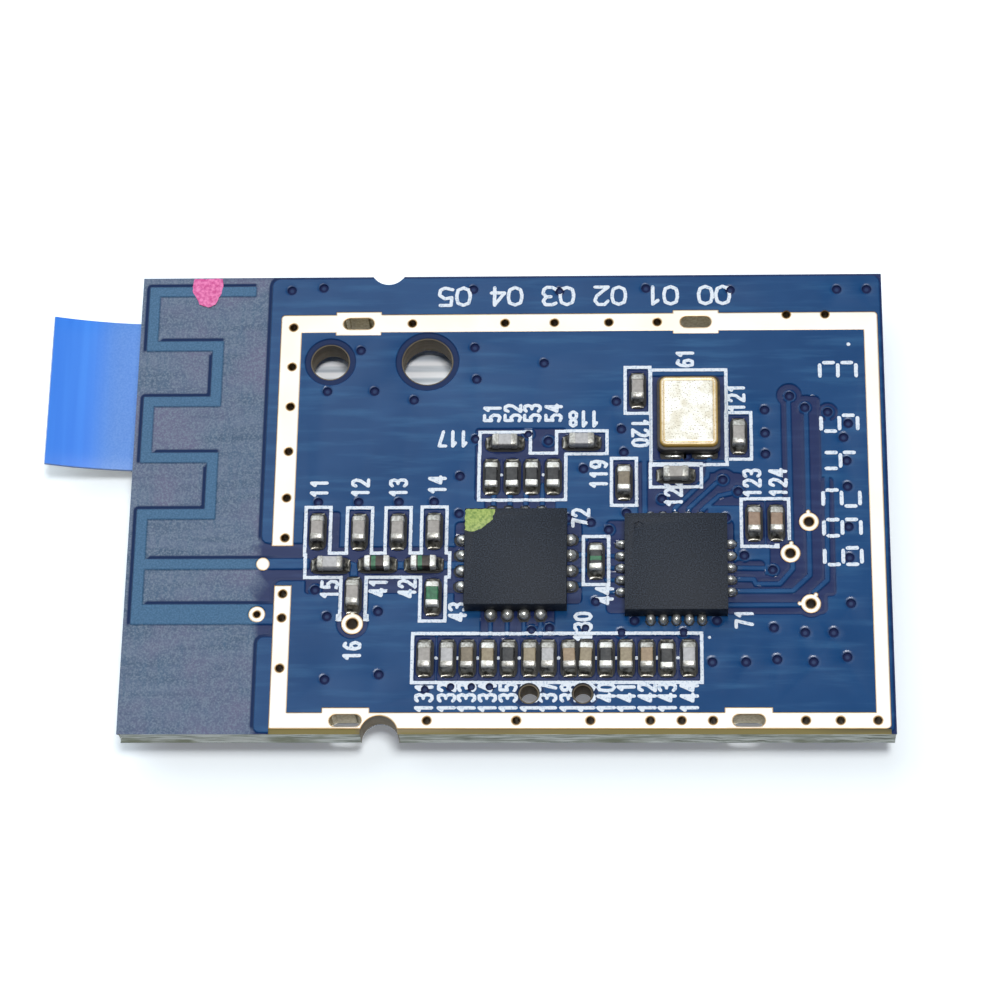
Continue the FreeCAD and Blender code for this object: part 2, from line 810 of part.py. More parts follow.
def conductor_strips():
    """Tinned conductors from end to end."""
    strips = []
    half = conductor_thickness / 2
    for offset in side_spots(conductor_count, conductor_pitch):
        y0 = cable_y + offset - conductor_width / 2
        strips.append(cable_strip(y0, y0 + conductor_width, -half, half, cable_end, 0, cable_angle))
    return strips


def make_insulation(strips):
    """Film round the conductors, peeled off one face at each end."""
    low = cable_y - cable_width / 2
    high = cable_y + cable_width / 2
    half = cable_thickness / 2
    skin = conductor_thickness / 2
    bare_angle = cable_angle - math.degrees(bare_length / cable_bend_radius)
    whole = cable_strip(low, high, -half, half, cable_end - bare_length, 0, bare_angle)
    inner_film = slab(cable_end - bare_length, low, cable_end, high, cable_z - half, cable_z - skin)
    outer_film = cable_strip(low, high, skin, half, cable_bend_start, bare_angle, cable_angle)
    return fused([whole, inner_film, outer_film]).cut(strips)


def make_stiffeners():
    """Stiff tape on the free end's upper face and on the inner end's lower face."""
    low = cable_y - cable_width / 2
    high = cable_y + cable_width / 2
    half = cable_thickness / 2
    arc_length = math.radians(cable_angle) * cable_bend_radius
    straight_end = cable_bend_start + stiffener_length - arc_length
    free = cable_strip(low, high, half, half + stiffener_thickness, straight_end, 0, cable_angle)
    inner = slab(
        cable_end - inner_stiffener_length,
        low,
        cable_end,
        high,
        cable_z - half - stiffener_thickness,
        cable_z - half,
    )
    return Part.makeCompound([free, inner])


# Connector

def make_contacts():
    """Stamped contacts: a tail on its land, a beam in the cavity and a tip on the conductor."""
    tail_z = -copper_thickness
    beam_top = underside_z - contact_roof - contact_cavity_gap
    beam_low = beam_top - contact_width
    tip_x = connector_front + contact_tip_inset
    tip_z = cable_z + conductor_thickness / 2
    tail_end = connector_back + contact_tail_length
    outline = [
        (tail_end, tail_z),
        (tail_end, tail_z - contact_width),
        (connector_back, tail_z - contact_width),
        (connector_back, beam_low),
        (tip_x + contact_tip_length, beam_low),
        (tip_x + (contact_tip_length + contact_tip_flat) / 2, tip_z),
        (tip_x + (contact_tip_length - contact_tip_flat) / 2, tip_z),
        (tip_x, beam_low + contact_width / 2),
        (tip_x, beam_top),
        (connector_back - contact_width, beam_top),
        (connector_back - contact_width, tail_z),
    ]
    plates = []
    for offset in side_spots(conductor_count, conductor_pitch):
        y0 = cable_y + offset - contact_thickness / 2
        plates.append(profile_plate(outline, y0, y0 + contact_thickness))
    return plates


def make_hold_downs():
    """Angle brackets at the connector's two sides, each with a foot on the board."""
    x0 = connector_front + hold_down_offset
    foot_top = -copper_thickness
    foot_low = foot_top - hold_down_thickness
    pieces = []
    for side in (-1, 1):
        wall = cable_y + side * connector_half_width
        tongue = wall - side * hold_down_inset
        toe = wall + side * hold_down_foot
        inner = tongue - side * hold_down_thickness
        foot = slab(x0, min(inner, toe), x0 + hold_down_length, max(inner, toe), foot_low, foot_top)
        blade = slab(
            x0,
            min(inner, tongue),
            x0 + hold_down_length,
            max(inner, tongue),
            foot_top - hold_down_height,
            foot_top,
        )
        pieces.append(fused([foot, blade]))
    return pieces


def make_housing(hold_downs):
    """Moulded block with the cable slot, contact cavities and seats for the brackets."""
    low_z = underside_z - connector_height
    half = connector_half_width
    block = slab(connector_front, cable_y - half, connector_back, cable_y + half, low_z, underside_z)
    slot_half = cable_width / 2 + connector_slot_side_gap
    slot_low = cable_z - cable_thickness / 2 - stiffener_thickness - connector_slot_face_gap
    slot_high = cable_z + cable_thickness / 2 + connector_slot_face_gap
    slot_end = connector_front + connector_slot_depth
    cuts = [slab(connector_front, cable_y - slot_half, slot_end, cable_y + slot_half, slot_low, slot_high)]
    cavity_width = contact_thickness + 2 * contact_cavity_gap
    cavity_front = connector_front + contact_beam_inset
    roof_z = underside_z - contact_roof
    riser_front = connector_back - contact_width - contact_cavity_gap
    for offset in side_spots(conductor_count, conductor_pitch):
        y0 = cable_y + offset - cavity_width / 2
        cuts.append(slab(cavity_front, y0, connector_back, y0 + cavity_width, slot_high, roof_z))
        cuts.append(slab(riser_front, y0, connector_back, y0 + cavity_width, roof_z, underside_z))
        cuts.append(slab(riser_front, y0, connector_back, y0 + cavity_width, slot_high, roof_z))
    return block.cut(fused(cuts)).cut(hold_downs)


def tail_lands(z0, z1):
    """One land for each contact's tail."""
    lands = []
    for offset in side_spots(conductor_count, conductor_pitch):
        y0 = cable_y + offset - connector_land_width / 2
        y1 = y0 + connector_land_width
        front = connector_back - contact_width
        lands.append(slab(front, y0, connector_back + contact_tail_length, y1, z0, z1))
    return lands


def tail_window(gap, z0, z1):
    """Rectangle over the whole row of tail lands, wider by a gap all round."""
    half = (conductor_count - 1) * conductor_pitch / 2 + connector_land_width / 2 + gap
    front = connector_back - contact_width - gap
    back = connector_back + contact_tail_length + gap
    return slab(front, cable_y - half, back, cable_y + half, z0, z1)


def foot_lands(gap, z0, z1):
    """Lands for the brackets' feet, each wider by a gap all round."""
    lands = []
    x0 = connector_front + hold_down_offset
    for side in (-1, 1):
        wall = cable_y + side * connector_half_width
        heel = wall - side * (hold_down_inset + hold_down_thickness)
        toe = wall + side * hold_down_foot
        low = min(heel, toe) - gap
        high = max(heel, toe) + gap
        lands.append(slab(x0 - gap, low, x0 + hold_down_length + gap, high, z0, z1))
    return lands


def connector_lands(z0, z1):
    return tail_lands(z0, z1) + foot_lands(0, z0, z1)


def connector_windows(gap, z0, z1):
    return [tail_window(gap, z0, z1)] + foot_lands(gap, z0, z1)


# Underside

def make_bottom_copper():
    """Ground plane and connector lands on the underside, one etched layer."""
    plane = plane_region(-copper_thickness, 0)
    clear = bare_hole_clearances(hole_copper_gap, -copper_thickness, 0)
    clear += notches(-copper_thickness, 0) + slot_holes(0, -copper_thickness, 0)
    clear += pad_holes(window_gap, -copper_thickness, 0)
    clear += connector_windows(window_gap, -copper_thickness, 0)
    return Part.makeCompound([plane.cut(fused(clear))] + connector_lands(-copper_thickness, 0))


def make_bottom_mask(bottom_copper):
    """Mask over the underside, raised over its copper and open at the slots, holes and lands."""
    low = board_plate(-mask_thickness, 0)
    raised = plane_region(underside_z, 0, mask_thickness)
    skin = fused([low, raised]).common(board_plate(underside_z, 0)).cut(bottom_copper.Solids)
    openings = bare_hole_clearances(hole_mask_gap, underside_z, 0)
    openings += connector_windows(opening_gap, underside_z, 0)
    openings += slot_holes(window_gap, underside_z, 0)
    openings += pad_holes(0, underside_z, 0)
    return skin.cut(fused(openings))


def make_solder():
    """Solder fillets at the ends of every part on the top."""
    joints = []
    for centre, angle, height in chip_rows:
        joints += chip_joints(centre, angle)
    joints += package_joints(u2_centre, u2_pins_per_side, u2_pitch)
    joints += package_joints(u1_centre, u1_pins_per_side, u1_pitch)
    return Part.makeCompound(joints + crystal_joints())


# Values that need the functions above
connector_half_width = cable_width / 2 + connector_side_wall
cable_angle = math.degrees(math.asin((cable_bend_start + cable_reach) / cable_bend_radius))
first_match_part = place(capacitors[4][:2])
feed_end = first_match_part.x - chip_length / 2 - land_reach - window_gap
chip_rows = [(place(spot[:2]), spot[2], capacitor_height) for spot in capacitors + inductors]
chip_rows += [(place(spot[:2]), spot[2], resistor_height) for spot in resistors]


def save(name, shape):
    """One file per node, moved so that the main locating hole is the origin."""
    moved = shape.copy()
    moved.translate(V(-main_hole.x, -main_hole.y, 0))
    moved.exportStep(os.path.join("parts", name + ".step"))
    print(name, len(moved.Solids), round(moved.Volume, 4), moved.isValid())


def save_chips(kind, spots, height):
    for number, (column, row, angle) in enumerate(spots, start=1):
        save("%s_%02d" % (kind, number), make_chip(height, place((column, row)), angle))


os.makedirs("parts", exist_ok=True)
save("board_laminate", make_laminate())
antenna = make_antenna()
save("antenna_copper", antenna)
top_ground = make_top_ground()
save("ground_copper_top", top_ground)
save("shield_ring", make_ring())
save("test_pads", make_test_pads())
save("component_lands", make_component_lands())
save("solder_mask_top", make_top_mask(top_ground, antenna))
save("silkscreen_outlines", make_silkscreen())
bottom_copper = make_bottom_copper()
save("bottom_copper", bottom_copper)
save("solder_mask_bottom", make_bottom_mask(bottom_copper))
save("solder_joints", make_solder())
save("u2_terminals", Part.makeCompound(package_terminals(u2_centre, u2_pins_per_side, u2_pitch)))
save("u2_package", make_package(u2_centre, u2_pins_per_side, u2_pitch))
save("u1_terminals", Part.makeCompound(package_terminals(u1_centre, u1_pins_per_side, u1_pitch)))
save("u1_package", make_package(u1_centre, u1_pins_per_side, u1_pitch))
save("crystal_base", make_crystal_base())
save("crystal_lid", make_crystal_lid())
conductors = conductor_strips()
save("cable_conductors", Part.makeCompound(conductors))
save("cable_insulation", make_insulation(conductors))
save("cable_stiffeners", make_stiffeners())
brackets = make_hold_downs()
save("connector_hold_downs", Part.makeCompound(brackets))
save("connector_contacts", Part.makeCompound(make_contacts()))
save("connector_housing", make_housing(brackets))
save_chips("capacitor", capacitors, capacitor_height)
save_chips("inductor", inductors, capacitor_height)
save_chips("resistor", resistors, resistor_height)
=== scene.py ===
import math

import bmesh
import bpy
import numpy as np
from mathutils import Matrix, Vector, noise
from mathutils.geometry import delaunay_2d_cdt


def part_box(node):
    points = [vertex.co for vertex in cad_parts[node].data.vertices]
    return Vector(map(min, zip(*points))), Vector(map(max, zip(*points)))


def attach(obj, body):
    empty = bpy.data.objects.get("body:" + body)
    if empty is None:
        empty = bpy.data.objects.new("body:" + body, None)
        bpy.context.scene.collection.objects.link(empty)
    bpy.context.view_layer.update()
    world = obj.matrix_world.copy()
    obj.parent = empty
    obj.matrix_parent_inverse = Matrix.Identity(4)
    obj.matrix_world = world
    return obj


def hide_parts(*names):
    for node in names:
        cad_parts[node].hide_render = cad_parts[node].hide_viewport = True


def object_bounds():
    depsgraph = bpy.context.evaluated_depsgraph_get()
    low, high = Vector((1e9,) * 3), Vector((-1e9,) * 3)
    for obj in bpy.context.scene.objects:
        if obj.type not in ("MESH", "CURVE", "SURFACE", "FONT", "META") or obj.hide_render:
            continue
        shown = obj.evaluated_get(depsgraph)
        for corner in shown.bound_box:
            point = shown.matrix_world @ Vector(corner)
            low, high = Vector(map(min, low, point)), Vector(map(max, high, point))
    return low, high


# Looks of a wireless circuit board. Shapes are worked out in millimetres from the board's front left
# corner, with heights from the laminate's underside, and are turned into metres as they become meshes.

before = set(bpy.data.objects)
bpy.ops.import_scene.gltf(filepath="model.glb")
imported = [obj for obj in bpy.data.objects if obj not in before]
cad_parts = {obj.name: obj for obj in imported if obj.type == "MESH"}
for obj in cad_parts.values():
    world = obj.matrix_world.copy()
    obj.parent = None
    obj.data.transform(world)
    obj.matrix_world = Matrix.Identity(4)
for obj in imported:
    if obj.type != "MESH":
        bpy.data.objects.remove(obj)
cad_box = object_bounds()

MM = 0.001
board_low, board_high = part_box("board_laminate")
CORNER = Vector((board_low.x / MM, board_low.y / MM, 0.0))
LENGTH = (board_high.x - board_low.x) / MM
WIDTH = (board_high.y - board_low.y) / MM
LAMINATE_TOP = board_high.z / MM
COPPER_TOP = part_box("shield_ring")[1].z / MM
MASK_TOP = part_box("solder_mask_top")[1].z / MM
MASK_THICKNESS = MASK_TOP - COPPER_TOP
COPPER_THICKNESS = COPPER_TOP - LAMINATE_TOP


def corner_box(node):
    """A node's box in millimetres from the board's corner: x0, y0, z0, x1, y1, z1."""
    low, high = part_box(node)
    low = low / MM - CORNER
    high = high / MM - CORNER
    return (*low, *high)


# Camera, fitted to the photograph

CAMERA_PLACE = (0.008562, -0.052211, 0.115807)
CAMERA_LENS = 112.74
CAMERA_AZIMUTH = 6.863
CAMERA_TILT = 90 - 67.922
CAMERA_ROLL = -6.569


def make_camera():
    data = bpy.data.cameras.new("camera")
    data.lens = CAMERA_LENS
    data.sensor_width = 36.0
    data.clip_start = 0.001
    camera = bpy.data.objects.new("camera", data)
    turn = Matrix.Rotation(math.radians(CAMERA_AZIMUTH), 4, "Z")
    turn @= Matrix.Rotation(math.radians(CAMERA_TILT), 4, "X")
    turn @= Matrix.Rotation(math.radians(CAMERA_ROLL), 4, "Z")
    camera.matrix_world = Matrix.Translation(CAMERA_PLACE) @ turn
    bpy.context.scene.collection.objects.link(camera)
    bpy.context.scene.camera = camera


# Finishes

def paint(red, green, blue):
    """Linear colour from the 0 to 255 values that it should look like."""
    values = []
    for value in (red, green, blue):
        share = value / 255
        values.append(share / 12.92 if share <= 0.04045 else ((share + 0.055) / 1.055) ** 2.4)
    return (*values, 1.0)


class Finish:
    """A node material that is put together step by step."""

    def __init__(self, name, roughness=0.5, metallic=0.0, **sockets):
        self.material = bpy.data.materials.new(name)
        self.material.use_nodes = True
        self.nodes = self.material.node_tree.nodes
        self.links = self.material.node_tree.links
        self.shader = self.nodes["Principled BSDF"]
        self.shader.inputs["Roughness"].default_value = roughness
        self.shader.inputs["Metallic"].default_value = metallic
        for key, value in sockets.items():
            self.shader.inputs[key.replace("_", " ")].default_value = value
        self.place = self.node("ShaderNodeTexCoord").outputs["Object"]

    def node(self, kind, settings=None, **inputs):
        made = self.nodes.new(kind)
        for key, value in (settings or {}).items():
            setattr(made, key, value)
        for key, value in inputs.items():
            self.feed(made.inputs[key.replace("_", " ")], value)
        return made

    def feed(self, socket, value):
        if isinstance(value, bpy.types.NodeSocket):
            self.links.new(value, socket)
        else:
            socket.default_value = value

    def noise(self, size_mm, detail=3.0, stretch=(1, 1, 1)):
        """Noise from 0 to 1 whose features are about that size, drawn out along an axis by stretch."""
        scale = tuple(1 / (size_mm * MM * part) for part in stretch)
        mapped = self.node("ShaderNodeMapping", Vector=self.place, Scale=scale)
        made = self.node("ShaderNodeTexNoise", Vector=mapped.outputs["Vector"], Scale=1.0, Detail=detail)
        return made.outputs["Fac"]

    def ramp(self, value, low, high):
        """The value stretched so that low gives 0 and high gives 1."""
        made = self.node("ShaderNodeMapRange", {"interpolation_type": "SMOOTHSTEP"}, Value=value)
        made.inputs["From Min"].default_value = low
        made.inputs["From Max"].default_value = high
        return made.outputs["Result"]

    def mix(self, factor, first, second):
        made = self.nodes.new("ShaderNodeMix")
        made.data_type = "RGBA"
        self.feed(made.inputs[0], factor)
        self.feed(made.inputs[6], first)
        self.feed(made.inputs[7], second)
        return made.outputs[2]

    def blend(self, value, low, high, first, second):
        """Mix that goes from the first colour at low to the second at high. A colour is 0 to 255 values
        or another mix."""
        colors = [paint(*color) if isinstance(color, tuple) else color for color in (first, second)]
        return self.mix(self.ramp(value, low, high), *colors)

    def dim(self, value, share):
        made = self.node("ShaderNodeMath", {"operation": "MULTIPLY"})
        self.links.new(value, made.inputs[0])
        made.inputs[1].default_value = share
        return made.outputs["Value"]

    def attribute(self, name):
        return self.node("ShaderNodeAttribute", {"attribute_name": name}).outputs["Fac"]

    def color(self, value):
        self.feed(self.shader.inputs["Base Color"], value)

    def roughness(self, factor, low, high):
        made = self.node("ShaderNodeMapRange", Value=factor)
        made.inputs["To Min"].default_value = low
        made.inputs["To Max"].default_value = high
        self.links.new(made.outputs["Result"], self.shader.inputs["Roughness"])

    def bump(self, height, depth_mm, strength=1.0):
        made = self.node("ShaderNodeBump", Height=height, Strength=strength, Distance=depth_mm * MM)
        self.links.new(made.outputs["Normal"], self.shader.inputs["Normal"])


def speckled(name, first, second, size_mm, roughness, metallic=0.0, depth_mm=0.004, **sockets):
    """A finish whose colour and relief wander between two tones."""
    finish = Finish(name, roughness, metallic, **sockets)
    grain = finish.noise(size_mm, 4.0)
    finish.color(finish.blend(grain, 0.3, 0.7, first, second))
    finish.bump(grain, depth_mm)
    return finish.material


def mask_finish():
    """Blue solder mask: deep blue over copper, purple over bare laminate, slate where nothing lies below,
    with painted shade along the far and left steps of the copper, round the large holes and down the vias."""
    finish = Finish("solder_mask", 0.2, 0.0, Specular_IOR_Level=0.32)
    cloud = finish.noise(2.5, 3.0)
    brushed = finish.noise(0.35, 4.0, (9, 1, 1))
    warp = finish.noise(0.22, 3.0, (1, 8, 1))
    grain = finish.noise(0.07, 3.0)
    over_copper = finish.blend(cloud, 0.3, 0.7, (0, 60, 110), (16, 68, 118))
    over_copper = finish.blend(brushed, 0.45, 0.8, over_copper, (34, 84, 130))
    purple = finish.blend(brushed, 0.4, 0.75, (24, 38, 84), (38, 54, 98))
    slate = finish.blend(brushed, 0.3, 0.62, (56, 80, 107), (88, 103, 129))
    slate = finish.blend(warp, 0.42, 0.7, slate, (64, 90, 118))
    slate = finish.blend(cloud, 0.42, 0.68, slate, (94, 94, 124))
    slate = finish.blend(grain, 0.35, 0.75, slate, (112, 126, 144))
    trace = finish.blend(grain, 0.3, 0.8, (50, 92, 126), (70, 112, 148))
    clear = finish.attribute("open")
    copper = finish.mix(clear, over_copper, trace)
    bare = finish.mix(clear, purple, slate)
    base = finish.mix(finish.attribute("copper"), bare, copper)
    step_shade = finish.attribute("step_shade")
    # Painted shade: dark blue along the far and left steps of raised copper and round the large holes
    base = finish.mix(step_shade, base, paint(0, 34, 78))
    # Painted shade down each via's pit, a little paler at its middle as a painted highlight
    deep = finish.attribute("deep")
    base = finish.mix(deep, base, paint(0, 16, 66))
    finish.color(base)
    shaded = finish.node("ShaderNodeMath", {"operation": "MAXIMUM"})
    finish.links.new(step_shade, shaded.inputs[0])
    finish.links.new(deep, shaded.inputs[1])
    streaks = finish.dim(brushed, 0.15)
    finish.roughness(finish.mix(shaded.outputs["Value"], streaks, (1, 1, 1, 1)), 0.12, 0.75)
    finish.bump(finish.mix(0.6, grain, brushed), 0.004)
    return finish.material


def laminate_finish():
    """Glass epoxy: pale drawn-out fibres on the sawn edges, an olive lip, brown round the large holes, and
    near black painted shade away from the outer edge, in the mask openings and down the drilled walls.
    """
    finish = Finish("glass_epoxy", 0.6, 0.0)
    streak = finish.noise(0.11, 5.0, (14, 14, 1))
    patch = finish.noise(0.8, 3.0, (3, 3, 1))
    edge = finish.blend(streak, 0.32, 0.6, (126, 134, 118), (230, 236, 230))
    edge = finish.blend(patch, 0.5, 0.7, edge, (142, 148, 124))
    lip = finish.mix(finish.attribute("lip"), edge, paint(118, 104, 44))
    # Painted shade: near black everywhere away from the outer edge, in the mask openings and down the drilled
    # walls
    inner = finish.mix(finish.attribute("dark"), lip, paint(12, 12, 16))
    bore = finish.blend(patch, 0.3, 0.7, (104, 88, 62), (142, 126, 98))
    finish.color(finish.mix(finish.attribute("bore"), inner, bore))
    finish.bump(streak, 0.03)
    return finish.material


def gold_finish():
    """Gold over nickel: nearly white on the flats, a painted reflection of the bright light above, and deep
    gold along each edge.
    """
    finish = Finish("gold_plate", 0.4, 0.12)
    grain = finish.noise(0.06, 3.0)
    cloud = finish.noise(3.0, 2.0)
    # Painted reflection: the flats are nearly white; the edges keep deep gold
    flat = finish.blend(cloud, 0.35, 0.75, (251, 249, 240), (250, 245, 226))
    finish.color(finish.mix(finish.attribute("rim"), flat, paint(204, 148, 40)))
    finish.bump(grain, 0.002)
    return finish.material


def barrel_finish():
    """Plated walls: pale in the slots as painted light, where the lit wall and the floor below show,
    and deep brown in the small holes as painted shade.
    """
    finish = Finish("plated_wall", 0.4, 0.2)
    grain = finish.noise(0.12, 4.0)
    pale = finish.blend(grain, 0.3, 0.7, (206, 192, 156), (240, 230, 204))
    # Painted light and shade: pale in the slots, deep brown in the small holes
    finish.color(finish.mix(finish.attribute("small"), pale, paint(112, 80, 28)))
    finish.bump(grain, 0.01)
    return finish.material


def solder_finish(name, first, second):
    finish = Finish(name, 0.3, 0.75)
    patch = finish.noise(0.2, 3.0)
    finish.color(finish.blend(patch, 0.35, 0.65, first, second))
    finish.roughness(patch, 0.2, 0.4)
    finish.bump(patch, 0.006)
    return finish.material


def ink_finish():
    finish = Finish("white_print", 0.6, 0.0)
    grain = finish.noise(0.09, 4.0)
    thin = finish.blend(grain, 0.28, 0.5, (170, 188, 210), (226, 232, 240))
    finish.color(thin)
    finish.bump(grain, 0.006)
    return finish.material


def mould_finish():
    finish = Finish("mould_compound", 0.6, 0.0, Specular_IOR_Level=0.35)
    grain = finish.noise(0.05, 4.0)
    cloud = finish.noise(0.5, 3.0)
    base = finish.blend(grain, 0.38, 0.68, (0, 6, 20), (44, 53, 67))
    finish.color(finish.blend(cloud, 0.5, 0.8, base, (22, 29, 40)))
    finish.bump(grain, 0.01)
    return finish.material


def lid_finish():
    finish = Finish("plated_lid", 0.36, 0.25)
    grain = finish.noise(0.06, 5.0)
    cloud = finish.noise(0.7, 3.0)
    # Painted reflection: the flat top is nearly white
    flat = finish.blend(cloud, 0.35, 0.6, (222, 214, 194), (252, 250, 241))
    worn = finish.blend(grain, 0.53, 0.7, flat, (156, 142, 114))
    finish.color(finish.mix(finish.attribute("rim"), worn, paint(206, 164, 72)))
    finish.bump(grain, 0.006)
    return finish.material


def stiffener_finish():
    """Blue film with faint streaks along the cable, and a painted sheen that makes it paler where it is bent.
    """
    finish = Finish("blue_film", 0.42, 0.0, Sheen_Weight=0.15)
    streak = finish.noise(0.5, 2.0, (1, 30, 1))
    grain = finish.noise(0.08, 3.0)
    base = finish.blend(streak, 0.35, 0.65, (48, 128, 236), (60, 140, 242))
    pale = finish.blend(grain, 0.3, 0.7, (80, 134, 214), (96, 146, 220))
    finish.color(finish.mix(finish.attribute("sheen"), base, pale))
    finish.bump(grain, 0.003)
    return finish.material


def film_finish():
    """White film, with the conductors showing through as pale stripes."""
    finish = Finish("white_film", 0.3, 0.0)
    streak = finish.noise(0.25, 3.0, (14, 1, 1))
    gap = finish.blend(streak, 0.4, 0.7, (188, 196, 204), (214, 220, 226))
    finish.color(finish.mix(finish.attribute("rib"), gap, paint(252, 253, 255)))
    finish.bump(streak, 0.004)
    return finish.material


FINISHES = {
    "mask": mask_finish(),
    "laminate": laminate_finish(),
    "gold": gold_finish(),
    "barrel": barrel_finish(),
    "solder": solder_finish("solder", (178, 178, 172), (232, 232, 228)),
    # Painted shade: the chip parts' fillets are dark grey solder
    "fillet": solder_finish("shaded_solder", (70, 68, 62), (150, 146, 136)),
    "cap": speckled("tin_cap", (150, 146, 136), (206, 204, 198), 0.1, 0.32, 0.3, 0.006),
    "bright_cap": speckled("bright_cap", (206, 202, 190), (244, 244, 240), 0.1, 0.32, 0.3, 0.006),
    "ink": ink_finish(),
    "mould": mould_finish(),
    "lid": lid_finish(),
    "dark_ceramic": speckled("dark_ceramic", (28, 24, 24), (58, 48, 40), 0.2, 0.5),
    "blue_film": stiffener_finish(),
    "film": film_finish(),
    "plastic": speckled("connector_plastic", (206, 196, 172), (222, 214, 194), 0.3, 0.5),
    "tin": speckled("tin_plate", (176, 176, 172), (214, 214, 210), 0.12, 0.35, 0.7),
    "copper": speckled("copper_foil", (184, 116, 84), (206, 140, 104), 0.2, 0.4, 0.8),
    # Painted shade: the tinned lands round the chip parts are near black
    "land": speckled("shaded_land", (26, 25, 24), (58, 55, 50), 0.1, 0.4, 0.5, 0.008),
    "green_paint": speckled("green_paint", (112, 140, 58), (172, 188, 98), 0.1, 0.5),
    "pink_paint": speckled("pink_paint", (206, 60, 136), (242, 130, 186), 0.14, 0.5),
}

# Ceramic and coat tones of the chip parts
TONES = {
    "grey": ((150, 144, 138), (168, 162, 156)),
    "light": ((170, 168, 168), (190, 188, 188)),
    "beige": ((136, 122, 98), (156, 142, 116)),
    "dark_beige": ((116, 104, 86), (134, 122, 102)),
    "brown": ((138, 112, 92), (156, 130, 108)),
    "tan": ((146, 124, 98), (164, 142, 114)),
    "black": ((30, 30, 32), (56, 56, 56)),
    "green": ((36, 92, 62), (58, 124, 84)),
    "dark_brown": ((34, 24, 20), (62, 46, 36)),
}
for tone, (first, second) in TONES.items():
    FINISHES[tone] = speckled("chip_" + tone, first, second, 0.14, 0.45)


# Flat shapes and their distances, in millimetres

def rect(x0, y0, x1, y1, radius=0.0):
    return ("rect", x0, y0, x1, y1, radius)


def disc(x, y, radius):
    return ("disc", x, y, radius)


def stroke(points, width):
    """Round-ended lines from point to point."""
    return [("line", *start, *end, width / 2) for start, end in zip(points, points[1:])]


def distance(shape, x, y):
    """Distance to the shape's outline, below zero inside."""
    if shape[0] == "disc":
        return np.hypot(x - shape[1], y - shape[2]) - shape[3]
    if shape[0] == "rect":
        x0, y0, x1, y1, radius = shape[1:]
        dx = np.abs(x - (x0 + x1) / 2) - (x1 - x0) / 2 + radius
        dy = np.abs(y - (y0 + y1) / 2) - (y1 - y0) / 2 + radius
        outside = np.hypot(np.maximum(dx, 0), np.maximum(dy, 0))
        return outside + np.minimum(np.maximum(dx, dy), 0) - radius
    ax, ay, bx, by, half = shape[1:]
    along = ((x - ax) * (bx - ax) + (y - ay) * (by - ay)) / ((bx - ax) ** 2 + (by - ay) ** 2)
    along = np.clip(along, 0, 1)
    return np.hypot(x - ax - along * (bx - ax), y - ay - along * (by - ay)) - half


def union(shapes, x, y):
    """Distance to the nearest of the shapes."""
    nearest = np.full(np.shape(x), 99.0)
    for shape in shapes:
        nearest = np.minimum(nearest, distance(shape, x, y))
    return nearest


def arc_points(x, y, radius, start, end, steps):
    angles = [math.radians(start + (end - start) * step / steps) for step in range(steps + 1)]
    return [(x + radius * math.cos(angle), y + radius * math.sin(angle)) for angle in angles]


def circle(x, y, radius, steps=20):
    return arc_points(x, y, radius, 0, 360, steps)[:-1]


def outline(shape, offset=0.0, steps=4):
    """The shape's outline, moved outwards by an offset."""
    if shape[0] == "disc":
        radius = shape[3] + offset
        return circle(shape[1], shape[2], radius, max(12, 5 * steps)) if radius > 0.01 else []
    if shape[0] == "rect":
        x0, y0, x1, y1, radius = shape[1:]
        x0, y0, x1, y1 = x0 - offset, y0 - offset, x1 + offset, y1 + offset
        radius = max(radius + offset, 0.0)
        if radius < 0.01:
            return [(x0, y0), (x1, y0), (x1, y1), (x0, y1)]
        points = arc_points(x1 - radius, y1 - radius, radius, 0, 90, steps)
        points += arc_points(x0 + radius, y1 - radius, radius, 90, 180, steps)
        points += arc_points(x0 + radius, y0 + radius, radius, 180, 270, steps)
        return points + arc_points(x1 - radius, y0 + radius, radius, 270, 360, steps)
    ax, ay, bx, by, half = shape[1:]
    half += offset
    if half < 0.01:
        return []
    angle = math.degrees(math.atan2(by - ay, bx - ax))
    points = arc_points(bx, by, half, angle - 90, angle + 90, steps)
    return points + arc_points(ax, ay, half, angle + 90, angle + 270, steps)


def fine(loop, step=0.3):
    """The loop with points added along its long sides."""
    points = []
    for index, (x0, y0) in enumerate(loop):
        x1, y1 = loop[(index + 1) % len(loop)]
        count = max(1, round(math.hypot(x1 - x0, y1 - y0) / step))
        points += [(x0 + (x1 - x0) * part / count, y0 + (y1 - y0) * part / count) for part in range(count)]
    return points


def outlines(shapes, offsets=(0.0,), steps=4):
    """Every shape's outline at every offset."""
    loops = [outline(shape, offset, steps) for shape in shapes for offset in offsets]
    return [loop for loop in loops if loop]


def ease(value, low, high):
    """0 below low, 1 above high and smooth between."""
    share = np.clip((value - low) / (high - low), 0, 1)
    return share * share * (3 - 2 * share)


# Meshes

def finish_mesh(name, points, faces, materials, smooth_angle=30.0, indices=None):
    """An object from points in board millimetres, its faces and its finishes."""
    mesh = bpy.data.meshes.new(name)
    placed = [((x + CORNER.x) * MM, (y + CORNER.y) * MM, z * MM) for x, y, z in points]
    mesh.from_pydata(placed, [], faces)
    for material in materials:
        mesh.materials.append(FINISHES[material])
    if indices is not None:
        mesh.polygons.foreach_set("material_index", indices)
    mesh.polygons.foreach_set("use_smooth", [True] * len(mesh.polygons))
    mesh.set_sharp_from_angle(angle=math.radians(smooth_angle))
    mesh.validate()
    piece = bpy.data.objects.new(name, mesh)
    bpy.context.scene.collection.objects.link(piece)
    return piece


def add_field(piece, name, values):
    """Numbers at the piece's points, for its finish to read."""
    layer = piece.data.attributes.new(name, "FLOAT", "POINT")
    layer.data.foreach_set("value", np.asarray(values, np.float32))


